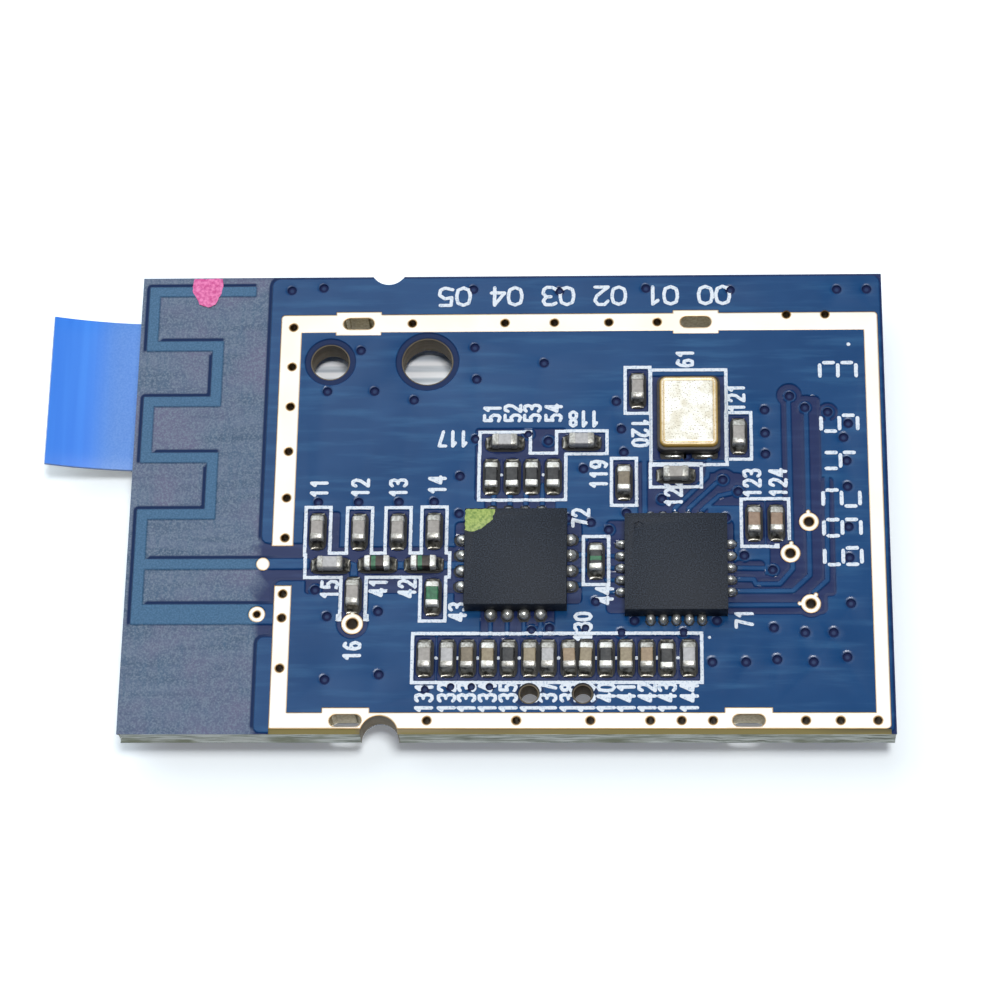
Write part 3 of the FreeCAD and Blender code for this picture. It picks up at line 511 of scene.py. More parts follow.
def dress(piece, slot, *nodes):
    """Hangs the piece under the root body and hides the nodes that it stands in for."""
    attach(piece, "root")
    if nodes:
        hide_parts(*nodes)
    return piece


def placer(x, y, z, turn):
    """Function that turns a point of a part about Z and moves it to the part's place."""
    angle = math.radians(turn)
    cos, sin = math.cos(angle), math.sin(angle)
    return lambda px, py, pz: (x + px * cos - py * sin, y + px * sin + py * cos, z + pz)


CUT_TOLERANCE = 1e-5


def sheet(name, loops, keep, top, low, material, fields=None, wall=None, levels=1, smooth_angle=12.0):
    """Closed body over a region of the board: the loops cut the plane into triangles, keep says which
    stay, and top and low give the heights of its two faces. wall shifts the points of its outer walls."""
    coords = []
    edges = []
    for loop in loops:
        start = len(coords)
        count = len(loop)
        coords += [Vector(point) for point in loop]
        edges += [(start + index, start + (index + 1) % count) for index in range(count)]
    verts, _, faces, _, _, _ = delaunay_2d_cdt(coords, edges, [], 0, CUT_TOLERANCE)
    plane = np.array([(v.x, v.y) for v in verts])
    triangles = np.array([face for face in faces if len(face) == 3])
    first, second, third = (plane[triangles[:, index]] for index in range(3))
    area = (second[:, 0] - first[:, 0]) * (third[:, 1] - first[:, 1])
    area -= (second[:, 1] - first[:, 1]) * (third[:, 0] - first[:, 0])
    triangles[area < 0] = triangles[area < 0][:, ::-1]
    middle = plane[triangles].mean(axis=1)
    triangles = triangles[keep(middle[:, 0], middle[:, 1])]
    used, remapped = np.unique(triangles, return_inverse=True)
    triangles = remapped.reshape(-1, 3)
    x, y = plane[used].T
    count = len(used)
    high_z = np.broadcast_to(np.asarray(top(x, y) if callable(top) else top, float), x.shape)
    low_z = np.broadcast_to(np.asarray(low(x, y) if callable(low) else low, float), x.shape)
    points = list(zip(x, y, high_z)) + list(zip(x, y, low_z))
    directed = set()
    for a, b, c in triangles.tolist():
        directed.update(((a, b), (b, c), (c, a)))
    rim = [(a, b) for a, b in directed if (b, a) not in directed]
    rim.sort()
    columns = {}
    for vertex in sorted(set(index for edge in rim for index in edge)):
        column = [vertex]
        for level in range(1, levels):
            share = level / levels
            z = high_z[vertex] + (low_z[vertex] - high_z[vertex]) * share
            dx, dy, dz = wall(x[vertex], y[vertex], share) if wall else (0, 0, 0)
            column.append(len(points))
            points.append((x[vertex] + dx, y[vertex] + dy, z + dz))
        columns[vertex] = column + [vertex + count]
    polygons = triangles.tolist() + (triangles[:, ::-1] + count).tolist()
    for a, b in rim:
        for level in range(levels):
            first, second = columns[a], columns[b]
            polygons.append([first[level + 1], second[level + 1], second[level], first[level]])
    piece = finish_mesh(name, points, polygons, [material], smooth_angle)
    x, y, z = np.array(points).T
    for field, values in (fields or {}).items():
        add_field(piece, field, values(x, y, z))
    return piece


# Layout of the board, in millimetres from its corner

HOLES = [(11.7, 15.7, 1.0), (7.775, 15.7, 0.75)]
PEG_HOLES = [(15.925, 1.625, 0.35), (18.0, 1.625, 0.35)]
NOTCHES = [(10.05, 19.86, 0.73), (10.15, 0.02, 0.73)]
HOLE_MASK_GAP = 0.05
PEG_MASK_GAP = 0.08
RING_LEFT = 5.72
RING_LOWER_LEFT = 5.89
RING_RIGHT = LENGTH - 0.2
RING_TOP = WIDTH - 1.7
RING_BOTTOM = 0.22
RING_CORNER = 0.16
RING_INNER = (6.57, 0.87, 29.23, 17.0)
RING_GAP = (6.1, 7.76)
SLOTS = [(8.875, 17.4), (22.5, 17.4), (8.85, 0.545), (24.375, 0.545)]
SLOT_HALF = 0.375
SLOT_RADIUS = 0.25
PLATING = 0.05
TAB_HALF = (0.925, 0.525)
LEFT_VIA_ROWS = [17.25, 15.5, 13.75, 11.8, 9.8, 8.1, 5.75, 4.75, 2.675]
TOP_VIAS = [11.05, 14.8, 16.8, 19.0, 20.95]
EDGE_VIAS = [26.15, 27.7]
BOTTOM_VIAS = [12.0, 15.45, 18.3, 20.6, 21.8, 23.0, 26.55, 27.875, 29.3]
RING_VIA_RADIUS = 0.175

TRACE = 0.45
ANTENNA_MARGIN = 0.28
ANTENNA_REACH = 3.42
ANTENNA_TOP_REACH = 4.65
ANTENNA_LEFT = ANTENNA_MARGIN + TRACE / 2
ANTENNA_RIGHT = ANTENNA_REACH - TRACE / 2
COPPER_CORNER = 0.06
ANTENNA_ROWS = [18.875, 16.44, 13.99, 11.55, 9.12]
FEED_Y = 7.0
FEED_END = 7.0
ARM = (4.475, 5.325)
DOT_PAD = (5.4, 7.0, 0.27)
ARM_PAD = (5.25, 4.9, 0.33, 0.15)
TEST_PADS = [(9.0, 4.5, 0.43, 0.24)]
TEST_PADS += [(x, y, 0.39, 0.21) for x, y in ((26.85, 8.72), (26.1, 7.4), (26.85, 5.3))]
TEARDROPS = [(26.83, 9.14), (26.14, 7.82), (27.05, 5.67), (26.42, 5.3), (9.0, 4.92)]

# Plugged vias under the mask, area by area: along the far edge, round the holes, in the matching network,
# above and between the chips, above the front row, by the crystal, at the right and under the labels
VIAS = [(6.1, 18.9), (7.4, 19.0), (13.5, 18.9), (17.0, 18.8), (20.5, 18.9), (23.9, 18.8), (28.2, 18.8)]
VIAS += [(29.4, 18.8)]
VIAS += [(9.0, 16.2), (9.6, 14.4), (7.7, 14.4), (11.2, 14.0), (13.6, 16.3), (13.7, 14.9), (16.4, 15.6)]
VIAS += [(7.5, 9.6), (9.1, 9.6), (10.7, 9.6), (12.1, 9.6), (13.1, 10.7), (13.1, 9.1), (7.5, 5.9), (8.0, 4.8)]
VIAS += [(10.0, 5.0), (10.1, 2.4), (8.0, 2.2)]
VIAS += [(13.7, 12.3), (16.6, 12.2), (15.8, 12.5), (19.3, 13.9), (19.5, 12.7), (19.6, 11.7), (18.0, 11.0)]
VIAS += [(22.1, 11.5)]
VIAS += [(17.4, 8.9), (18.3, 8.7), (19.0, 8.4), (19.7, 9.1), (21.1, 9.7), (18.5, 5.4), (19.5, 4.1)]
VIAS += [(20.0, 4.6), (21.9, 4.1)]
VIAS += [(16.0, 4.2), (16.7, 4.3), (18.1, 4.3)]
VIAS += [(25.2, 13.5), (25.2, 12.5), (25.2, 11.6), (23.5, 10.5), (24.1, 10.0), (23.6, 8.9), (24.3, 7.3)]
VIAS += [(26.2, 14.1), (26.8, 13.6), (27.7, 13.4), (28.5, 12.9), (28.3, 12.3), (28.4, 11.3), (28.4, 10.2)]
VIAS += [(28.4, 8.5), (28.4, 7.2), (28.4, 5.3), (25.4, 6.7)]
VIAS += [(23.2, 4.6), (25.4, 4.3), (26.6, 4.1), (27.7, 4.1), (23.0, 2.9), (24.3, 2.9), (25.5, 3.0)]
VIAS += [(26.9, 2.9), (28.2, 3.1)]
VIAS += [(11.9, 1.8), (12.9, 1.9), (13.7, 1.9), (14.4, 1.9)]
VIA_PIT = 0.17

CHIPS = sorted(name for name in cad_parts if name.split("_")[0] in ("capacitor", "inductor", "resistor"))
SKEWED = {"capacitor_21": 3.0, "capacitor_22": -3.0}
CHIP_LENGTH = 1.0
CHIP_WIDTH = 0.5
LAND_REACH = 0.26
OPENING_GAP = 0.04
OPENING_SIDE_GAP = 0.1
OPENING_CORNER = 0.27


def chip_pose(name):
    """Centre, turn in degrees and height of a chip part."""
    x0, y0, z0, x1, y1, z1 = corner_box(name)
    turn = 90.0 if y1 - y0 > x1 - x0 else 0.0
    return (x0 + x1) / 2, (y0 + y1) / 2, turn + SKEWED.get(name, 0.0), z1 - z0


POSES = {name: chip_pose(name) for name in CHIPS}
CRYSTAL = corner_box("crystal_base")

# Terminals on each side of the leadless chips, and their pitch
PACKAGES = {"u1": (5, 0.5), "u2": (4, 0.65)}


def round_chip(name, long_half, short_half, corner):
    """Rectangle round a chip part."""
    x, y, turn, height = POSES[name]
    half_x, half_y = (short_half, long_half) if turn > 45 else (long_half, short_half)
    return rect(x - half_x, y - half_y, x + half_x, y + half_y, corner)


def chip_opening(name):
    """Where the mask is left open round a chip part and its lands."""
    long_half = CHIP_LENGTH / 2 + LAND_REACH + OPENING_GAP
    return round_chip(name, long_half, CHIP_WIDTH / 2 + OPENING_SIDE_GAP, OPENING_CORNER)


def pin_spots(package):
    """Middle of each terminal's outer end, with the quarter turn of its side."""
    x0, y0, z0, x1, y1, z1 = corner_box(package + "_package")
    centre = Vector(((x0 + x1) / 2, (y0 + y1) / 2))
    half = (x1 - x0) / 2
    pins, pitch = PACKAGES[package]
    spots = []
    for quarter in range(4):
        turn = math.radians(90 * quarter)
        for index in range(pins):
            offset = (index - (pins - 1) / 2) * pitch
            x = centre.x + half * math.cos(turn) - offset * math.sin(turn)
            y = centre.y + half * math.sin(turn) + offset * math.cos(turn)
            spots.append((x, y, quarter, pitch))
    return spots


def pin_opening(x, y, quarter, pitch):
    """Where the mask is left open round a chip's terminal."""
    turn = math.radians(90 * quarter)
    inner = (x - 0.3 * math.cos(turn), y - 0.3 * math.sin(turn))
    outer = (x + 0.2 * math.cos(turn), y + 0.2 * math.sin(turn))
    return stroke([inner, outer], 0.78 * pitch)[0]


PIN_SPOTS = pin_spots("u1") + pin_spots("u2")


def antenna_lines():
    """Middle lines of the antenna: its rows, joined at alternate ends, the grounding arm and the feed."""
    points = [(ANTENNA_TOP_REACH - TRACE / 2, ANTENNA_ROWS[0])]
    for index, (row, next_row) in enumerate(zip(ANTENNA_ROWS, ANTENNA_ROWS[1:])):
        x = ANTENNA_LEFT if index % 2 == 0 else ANTENNA_RIGHT
        points += [(x, row), (x, next_row)]
    points += [(ANTENNA_LEFT, ANTENNA_ROWS[-1]), (ANTENNA_LEFT, ARM[0] + TRACE / 2)]
    return list(zip(points, points[1:])) + [((ANTENNA_LEFT, FEED_Y), (FEED_END, FEED_Y))]


def bar(start, end, width):
    """Straight copper run along X or Y with square ends."""
    half = width / 2
    x0, x1 = sorted((start[0], end[0]))
    y0, y1 = sorted((start[1], end[1]))
    return rect(x0 - half, y0 - half, x1 + half, y1 + half, COPPER_CORNER)


ANTENNA = [bar(start, end, TRACE) for start, end in antenna_lines()]
ANTENNA.append(rect(ANTENNA_LEFT - TRACE / 2, ARM[0], RING_LOWER_LEFT + 0.1, ARM[1], COPPER_CORNER))

PLANE = [rect(5.3, 7.86, 29.92, 19.42, 0.3), rect(7.64, 6.6, 29.92, 8.4), rect(5.9, 0.05, 29.92, 6.29, 0.25),
         rect(5.3, 0.05, 29.92, 3.96, 0.25), rect(7.9, 5.9, 29.92, 7.9, 0.2)]

# Places with no copper under the mask, round the parts and their tracks
BARE = [
    rect(6.95, 7.1, 8.4, 9.2, 0.12),
    rect(7.1, 5.75, 13.0, 7.7, 0.12),
    rect(8.45, 5.0, 9.6, 6.3, 0.12),
    rect(13.7, 9.65, 17.3, 12.75, 0.12),
    rect(12.95, 5.3, 17.95, 8.75, 0.2),
    rect(14.1, 8.6, 16.9, 9.95, 0.12),
    rect(14.0, 3.95, 16.9, 5.4, 0.12),
    rect(18.9, 4.9, 23.9, 8.8, 0.2),
    rect(20.15, 8.7, 22.9, 11.3, 0.12),
    rect(22.6, 9.4, 24.4, 10.8, 0.3),
    rect(20.65, 11.35, 23.7, 15.0, 0.12),
    rect(23.5, 4.85, 27.5, 6.5, 0.25),
    rect(23.9, 6.2, 25.1, 7.1, 0.2),
    rect(25.3, 6.3, 27.85, 8.6, 0.25),
    rect(25.84, 6.2, 27.4, 14.1, 0.2),
    rect(27.2, 5.6, 27.85, 10.6, 0.2),
]
BARE_ROUND = [disc(26.18, 14.14, 0.5), disc(26.82, 13.64, 0.5)]
BARE_ROUND += [disc(27.7, 13.4, 0.4), disc(23.55, 10.45, 0.52)]

SIGNAL = 0.19
FINE = 0.15
TRACKS = [
    ([(23.7, 5.82), (26.16, 5.82), (26.84, 6.47), (26.84, 8.4)], SIGNAL),
    ([(23.7, 6.32), (24.65, 6.3), (24.73, 6.11), (25.66, 6.11), (26.18, 6.73), (26.18, 7.0)], SIGNAL),
    ([(27.7, 13.3), (27.61, 10.9), (27.51, 6.26), (26.98, 5.77)], SIGNAL),
    ([(23.6, 5.24), (26.42, 5.24)], SIGNAL),
    ([(26.15, 14.1), (26.15, 7.8)], SIGNAL),
    ([(26.84, 13.6), (26.84, 9.1)], SIGNAL),
    ([(23.7, 6.79), (25.4, 6.75)], SIGNAL),
    ([(23.7, 7.3), (24.3, 7.3)], SIGNAL),
    ([(20.42, 12.1), (20.42, 9.0)], 0.2),
    ([(21.6, 9.0), (21.6, 9.3), (22.88, 10.62), (22.98, 11.4)], SIGNAL),
    ([(22.11, 9.0), (22.16, 9.3), (23.23, 10.36), (23.55, 10.42)], SIGNAL),
    ([(22.61, 9.0), (22.67, 9.2), (23.34, 9.82), (24.1, 10.0)], SIGNAL),
]
TRACKS += [([(column, 10.3), (column, 9.0)], SIGNAL) for column in (14.45, 15.1, 15.73, 16.38)]
TRACKS += [([(column, 5.0), (column, 4.0)], FINE) for column in (14.4, 15.05, 15.7, 16.35)]
TRACKS += [([(column, 4.8), (column, 4.1)], FINE) for column in (20.62, 21.12, 21.62, 22.12, 22.62)]
TRACKS += [([(17.4, row), (18.1, row)], SIGNAL) for row in (6.1, 6.7, 7.35, 8.0)]
TRACKS += [([(19.6, row), (18.9, row)], FINE) for row in (5.8, 6.3, 6.8, 7.3)]
TRACKS += [
    ([(8.0, 6.93), (8.9, 6.93)], 0.3),
    ([(10.3, 6.93), (11.2, 6.93)], 0.3),
    ([(12.2, 6.93), (13.4, 6.93)], 0.3),
    ([(9.0, 6.9), (9.0, 4.6)], 0.3),
]
TRACK_SHAPES = [shape for points, width in TRACKS for shape in stroke(points, width)]

VIA_PAD_RADIUS = 0.27
PAD_CLEARANCE = 0.19
HOLE_CLEARANCE = 0.28
VIA_PADS = [disc(x, y, VIA_PAD_RADIUS) for x, y in VIAS]
PAD_DISCS = [disc(x, y, radius) for x, y, radius, hole in TEST_PADS + [ARM_PAD]] + [disc(*DOT_PAD)]
RAISED = ANTENNA + TRACK_SHAPES + VIA_PADS
BARE_ROUND += [disc(x, y, radius + PAD_CLEARANCE) for x, y, radius, hole in TEST_PADS]
BARE_ROUND += [disc(x, y, radius + HOLE_CLEARANCE) for x, y, radius in HOLES]

# Bare laminate between each chip part and the printed line round it
BARE += [round_chip(name, 0.92, 0.42, 0.08) for name in CHIPS]


def copper_distance(x, y):
    """Distance to the copper under the mask, below zero over copper."""
    plane = union(PLANE, x, y)
    bare = union(BARE + BARE_ROUND, x, y)
    return np.minimum(np.maximum(plane, -bare), union(RAISED, x, y))


def ring_distance(x, y):
    """Distance to the shield ring, below zero over it."""
    outer, inner, gap, step = (distance(shape, x, y) for shape in RING_RECTS)
    ring = np.maximum(np.maximum(outer, -inner), -np.minimum(gap, step))
    ring = np.maximum(np.minimum(ring, union(TABS, x, y)), RING_BOTTOM - y)
    return np.maximum(ring, -union(NOTCH_DISCS, x, y))


def slot_shapes(gap=0.0):
    """The plated slots, grown by a gap."""
    return [stroke([(x - SLOT_HALF, y), (x + SLOT_HALF, y)], 2 * (SLOT_RADIUS + gap))[0] for x, y in SLOTS]


TABS = [rect(x - TAB_HALF[0], y - TAB_HALF[1], x + TAB_HALF[0], y + TAB_HALF[1], 0.03) for x, y in SLOTS]
NOTCH_DISCS = [disc(*notch) for notch in NOTCHES]

# The ring's outer and inner edge, its gap and the step of its lower left side
RING_RECTS = [
    rect(RING_LEFT, RING_BOTTOM, RING_RIGHT, RING_TOP, RING_CORNER),
    rect(*RING_INNER),
    rect(RING_LEFT - 1, RING_GAP[0], RING_INNER[0] + 1, RING_GAP[1]),
    rect(RING_LEFT - 1, -1, RING_LOWER_LEFT, RING_GAP[0]),
]
RING_LINES = RING_RECTS + TABS + NOTCH_DISCS
top_side_middle = RING_TOP - (RING_TOP - RING_INNER[3]) / 2
RING_VIAS = [(RING_LOWER_LEFT + 0.34, y) for y in LEFT_VIA_ROWS] + [(x, top_side_middle) for x in TOP_VIAS]
RING_VIAS += [(x, 0.545) for x in BOTTOM_VIAS] + [(x, RING_TOP - 0.1) for x in EDGE_VIAS]
RING_VIA_DISCS = [disc(x, y, RING_VIA_RADIUS) for x, y in RING_VIAS]
EDGE_VIA_DISCS = RING_VIA_DISCS[-len(EDGE_VIAS):]
SLOT_LINES = slot_shapes()
HOLE_DISCS = [disc(*hole) for hole in HOLES + PEG_HOLES]
PAD_HOLES = [disc(x, y, hole) for x, y, radius, hole in TEST_PADS + [ARM_PAD]]
VIA_DISCS = [disc(x, y, VIA_PIT + 0.04) for x, y in VIAS]
BOARD = rect(0, 0, LENGTH, WIDTH)
FRONT_STRIP = rect(RING_LOWER_LEFT, -1, LENGTH - 0.2, RING_BOTTOM)


def board_distance(x, y):
    """Distance to the board's outline, below zero over the board."""
    return np.maximum(distance(BOARD, x, y), -union(NOTCH_DISCS, x, y))


# Laminate

EDGE_ROOM = 0.35
EDGE_STEP = 0.14
BORE_RIM = 0.06
LIP = 0.12


def sawn_edge(x, y, share):
    """How far a point of the edge lies back: little on most sides, torn fibres along the near edge."""
    near = max(0.0, 1 - abs(y) / 0.02)
    sides = [(abs(x), (-1, 0)), (abs(x - LENGTH), (1, 0)), (abs(y), (0, -1)), (abs(y - WIDTH), (0, 1))]
    gap, (nx, ny) = min(sides, key=lambda item: item[0])
    if gap > 0.02:
        return (0, 0, 0)
    rough = noise.noise(Vector((x * 2.2, y * 2.2, share * 3))) * 0.02 - 0.015
    fibre = noise.noise(Vector((x * 0.8, 5.0, share * 9))) * 0.05 - 0.09
    lip = share ** 3 * (0.05 + 0.09 * max(0.0, noise.noise(Vector((x * 1.3, 2.0, 0.5)))))
    burr = share ** 4 * (0.2 if x > 21 else 0.06) * max(0.0, noise.noise(Vector((x * 2.6, 9.0, 0.1))))
    out = min(0.01, rough * (1 - near) + near * (fibre + lip + burr))
    return (nx * out, ny * out, 0)


def make_laminate():
    """The board with its holes: short steps along its outline let the sawn edge be rough."""
    cuts = HOLE_DISCS + RING_VIA_DISCS + PAD_HOLES + VIA_DISCS
    slots = slot_shapes(PLATING)

    def keep(x, y):
        return (board_distance(x, y) < 0) & (union(cuts + slots, x, y) > 0)

    # Painted shade: 1 away from the board's outer edge
    def dark(x, y, z):
        return (distance(BOARD, x, y) < -EDGE_ROOM + 0.01).astype(float)

    def bore(x, y, z):
        return (union(HOLE_DISCS + NOTCH_DISCS, x, y) < 0.01) * 0.85

    loops = [fine(outline(BOARD), EDGE_STEP), outline(BOARD, -EDGE_ROOM)]
    loops += outlines(HOLE_DISCS, (0.0, BORE_RIM), 8)
    loops += outlines(NOTCH_DISCS, steps=8)
    loops += outlines(RING_VIA_DISCS + PAD_HOLES + VIA_DISCS, steps=3) + outlines(slots, steps=8)
    fields = {"dark": dark, "bore": bore, "lip": lambda x, y, z: (z > LAMINATE_TOP - LIP).astype(float)}
    piece = sheet("laminate", loops, keep, LAMINATE_TOP, 0.0, "laminate", fields, sawn_edge, 7, 40.0)
    return dress(piece, "glass_epoxy", "board_laminate")


# Solder mask

def mask_openings(x, y):
    """Distance to where the top mask is left open."""
    return np.minimum(union(SOFT_OPENINGS + [FRONT_STRIP] + TEARDROP_DISCS, x, y), ring_distance(x, y))


CRYSTAL_OPENINGS = [
    rect(CRYSTAL[0] + 0.1, CRYSTAL[1] - 0.16, CRYSTAL[0] + 1.15, CRYSTAL[1] + 1.0, 0.05),
    rect(CRYSTAL[3] - 1.15, CRYSTAL[1] - 0.16, CRYSTAL[3] - 0.1, CRYSTAL[1] + 1.0, 0.05),
    rect(CRYSTAL[0] + 0.1, CRYSTAL[4] - 1.0, CRYSTAL[0] + 1.15, CRYSTAL[4] + 0.1, 0.05),
    rect(CRYSTAL[3] - 1.15, CRYSTAL[4] - 1.0, CRYSTAL[3] - 0.1, CRYSTAL[4] + 0.1, 0.05),
]
HOLE_OPENINGS = [disc(x, y, radius + HOLE_MASK_GAP) for x, y, radius in HOLES]
PEG_OPENINGS = [disc(x, y, radius + PEG_MASK_GAP) for x, y, radius in PEG_HOLES]
CHIP_OPENINGS = [chip_opening(name) for name in CHIPS]
PIN_OPENINGS = [pin_opening(*spot) for spot in PIN_SPOTS]

# Openings of the top mask whose edge is rounded down
SOFT_OPENINGS = HOLE_OPENINGS + PEG_OPENINGS + CHIP_OPENINGS + PIN_OPENINGS + PAD_DISCS + CRYSTAL_OPENINGS
TEARDROP_DISCS = [disc(x, y, 0.09) for x, y in TEARDROPS]

# The mask's relief: its rounded edge, the shoulder of raised copper, the band of painted shade beside it, and
# plugged vias
EDGE_ROUND = 0.04
EDGE_DROP = 0.016
ROUNDED = (0.0, EDGE_ROUND)
SHOULDER = 0.035
SLOPE = 0.028
SHADE_FULL = 0.11
SHADE_WIDTH = 0.18
HOLE_SHADE = 0.3
VIA_RINGS = (0.06, 0.1, 0.145, 0.19, 0.235, 0.31)
PLANE_EDGE = (5.25, 5.35)


def via_depth(x, y):
    """How deep the mask dips into each plugged via."""
    depth = np.zeros(np.shape(x))
    for vx, vy in VIAS:
        away = np.hypot(x - vx, y - vy)
        depth = np.maximum(depth, np.where(away < 0.3, 0.02 * (1 - ease(away, 0.2, 0.26)), 0))
        depth = np.maximum(depth, np.where(away < 0.21, 0.4 * (1 - ease(away, 0.04, 0.19)), 0))
    return depth


def via_shade(x, y, z):
    """Painted shade at each via's wall, a little paler at its middle as a painted highlight."""
    depth = via_depth(x, y)
    return ease(depth, 0.002, 0.03) * (1 - 0.4 * ease(depth, 0.3, 0.4))


def raised_top(x, y):
    """Top of an even mask, higher over copper."""
    return LAMINATE_TOP + MASK_THICKNESS + COPPER_THICKNESS * (1 - ease(copper_distance(x, y), -SLOPE, SLOPE))


def mask_height(x, y):
    """Top of the mask: raised over copper, rounded down at each opening and sunk into the vias."""
    rounded = EDGE_DROP * (1 - ease(union(SOFT_OPENINGS, x, y), *ROUNDED))
    return raised_top(x, y) - rounded - via_depth(x, y)


def step_shade_amount(x, y, z):
    """Painted shade on the far and left side of raised copper, stronger at the antenna, and in a ring round
    the large holes.
    """
    gap = copper_distance(x, y)
    step = 0.02
    slope_x = copper_distance(x + step, y) - copper_distance(x - step, y)
    slope_y = copper_distance(x, y + step) - copper_distance(x, y - step)
    size = np.maximum(np.hypot(slope_x, slope_y), 1e-9)
    facing = np.clip((slope_y - slope_x) / size * 1.2, 0, 1)
    band = ease(gap, -0.03, 0.02) * (1 - ease(gap, SHADE_FULL, SHADE_WIDTH))
    at_left = ease(-x, -6.2, -5.4) * 0.75 + 0.25
    round_hole = union(HOLE_DISCS, x, y)
    return np.maximum(facing * band * at_left, 0.85 * (1 - ease(round_hole, HOLE_SHADE - 0.07, HOLE_SHADE)))


def copper_loops():
    """Loops that carry the relief: each copper outline's foot, shoulder and band of painted shade."""
    near = (-SHOULDER, 0.0, SHOULDER, SHADE_FULL, SHADE_WIDTH)
    loops = outlines(ANTENNA + PLANE, near, 3)
    loops += outlines(BARE, (-SHADE_WIDTH, -SHOULDER, SHOULDER), 4)
    loops += outlines(BARE_ROUND, (-SHADE_WIDTH, -SHOULDER, SHOULDER), 8)
    loops += outlines(TRACK_SHAPES, (-SHOULDER, SHOULDER), 6)
    loops += outlines(HOLE_DISCS, (HOLE_SHADE - 0.07, HOLE_SHADE), 8)
    return [fine(loop) for loop in loops]


def mask_loops(via_steps):
    """Loops that both masks share: the board's and the notches' rounded edges and the vias' rings."""
    loops = [outline(BOARD), outline(BOARD, -EDGE_ROUND)] + outlines(NOTCH_DISCS, ROUNDED, 8)
    return loops, [circle(x, y, radius, via_steps) for x, y in VIAS for radius in VIA_RINGS]


def open_amount(x, y, z):
    """1 at the antenna's end, where no plane lies in the board, and 0 elsewhere."""
    return ease(-x, -PLANE_EDGE[1], -PLANE_EDGE[0])


def make_top_mask():
    """Top mask, with its relief and the amounts that its finish reads."""
    through = HOLE_DISCS + RING_VIA_DISCS + PAD_HOLES

    def keep(x, y):
        inside = (board_distance(x, y) < 0) & (mask_openings(x, y) > 0)
        return inside & (union(through, x, y) > 0)

    loops, via_rings = mask_loops(14)
    loops += copper_loops()
    loops += outlines(HOLE_OPENINGS + PAD_DISCS, ROUNDED, 7) + outlines(PEG_OPENINGS, ROUNDED, 4)
    loops += outlines(CHIP_OPENINGS + CRYSTAL_OPENINGS + PIN_OPENINGS, ROUNDED, 3)
    loops += outlines(RING_LINES + [FRONT_STRIP] + TEARDROP_DISCS + EDGE_VIA_DISCS, (0.0,), 5)
    loops += via_rings
    fields = {
        "copper": lambda x, y, z: 1 - ease(copper_distance(x, y), -SHOULDER, SHOULDER),
        "open": open_amount,
        "step_shade": step_shade_amount,
        "deep": via_shade,
    }
    piece = sheet("mask_top", loops, keep, mask_height, LAMINATE_TOP - 0.001, "mask", fields)
    return dress(piece, "blue_mask", "solder_mask_top", "ground_copper_top", "antenna_copper")


UNDER_PLANE = [rect(5.28, 7.74, 29.92, 19.42), rect(5.87, 0.1, 29.92, 6.32), rect(5.28, 0.1, 29.92, 4.0)]
UNDER_PLANE.append(rect(7.6, 5.9, 29.92, 8.4))
UNDER_DIP = 0.02
SLOT_WINDOW_GAP = 0.2


def make_bottom_mask():
    """Underside: plane copper under the mask, open at the slots, holes and the connector's lands."""
    front, low_y, _, back, high_y, _ = corner_box("connector_housing")
    tail = corner_box("connector_contacts")[3]
    feet = corner_box("connector_hold_downs")
    tail_window = rect(back - 0.2, low_y + 1.1, tail + 0.06, high_y - 1.1, 0.05)
    foot_windows = [rect(feet[0] - 0.06, feet[1] - 0.06, feet[3] + 0.06, low_y + 0.5, 0.05)]
    foot_windows.append(rect(feet[0] - 0.06, high_y - 0.5, feet[3] + 0.06, feet[4] + 0.06, 0.05))
    windows = [tail_window] + foot_windows + slot_shapes(SLOT_WINDOW_GAP) + HOLE_OPENINGS + PEG_OPENINGS
    windows += PAD_HOLES + RING_VIA_DISCS

    def keep(x, y):
        return (board_distance(x, y) < 0) & (union(windows, x, y) > 0)

    def depth(x, y):
        over = 1 - ease(union(UNDER_PLANE, x, y), -SLOPE, SLOPE)
        rounded = EDGE_DROP * (1 - ease(union(windows, x, y), *ROUNDED))
        dip = np.maximum(rounded, np.minimum(via_depth(x, y), UNDER_DIP))
        return -MASK_THICKNESS - COPPER_THICKNESS * over + dip

    loops, via_rings = mask_loops(12)
    loops += outlines(UNDER_PLANE, (-SHOULDER, 0.0, SHOULDER), 3) + outlines(windows, ROUNDED, 6)
    loops += via_rings
    fields = {
        "copper": lambda x, y, z: 1 - ease(union(UNDER_PLANE, x, y), -SHOULDER, SHOULDER),
        "open": open_amount,
        "deep": via_shade,
    }
    piece = sheet("mask_bottom", loops, keep, 0.001, depth, "mask", fields)
    return dress(piece, "blue_mask", "solder_mask_bottom")


# Plated parts of the board

RIM_WIDTH = 0.05
RIM_DROP = 0.014
PLATING_PROUD = 0.012
SINK = 0.002


def rim_amount(gap):
    """1 at an outline and 0 a little way inside it."""
    return 1 - ease(-gap, 0.0, RIM_WIDTH)


def plating(name, loops, inside, node):
    """Gold over copper, lower and deeper in colour along its edges."""
    piece = sheet(
        name,
        loops,
        lambda x, y: inside(x, y) < 0,
        lambda x, y: COPPER_TOP + PLATING_PROUD - RIM_DROP * rim_amount(inside(x, y)),
        LAMINATE_TOP - SINK,
        "gold",
        {"rim": lambda x, y, z: rim_amount(inside(x, y))},
    )
    return dress(piece, "gold_plating", node)


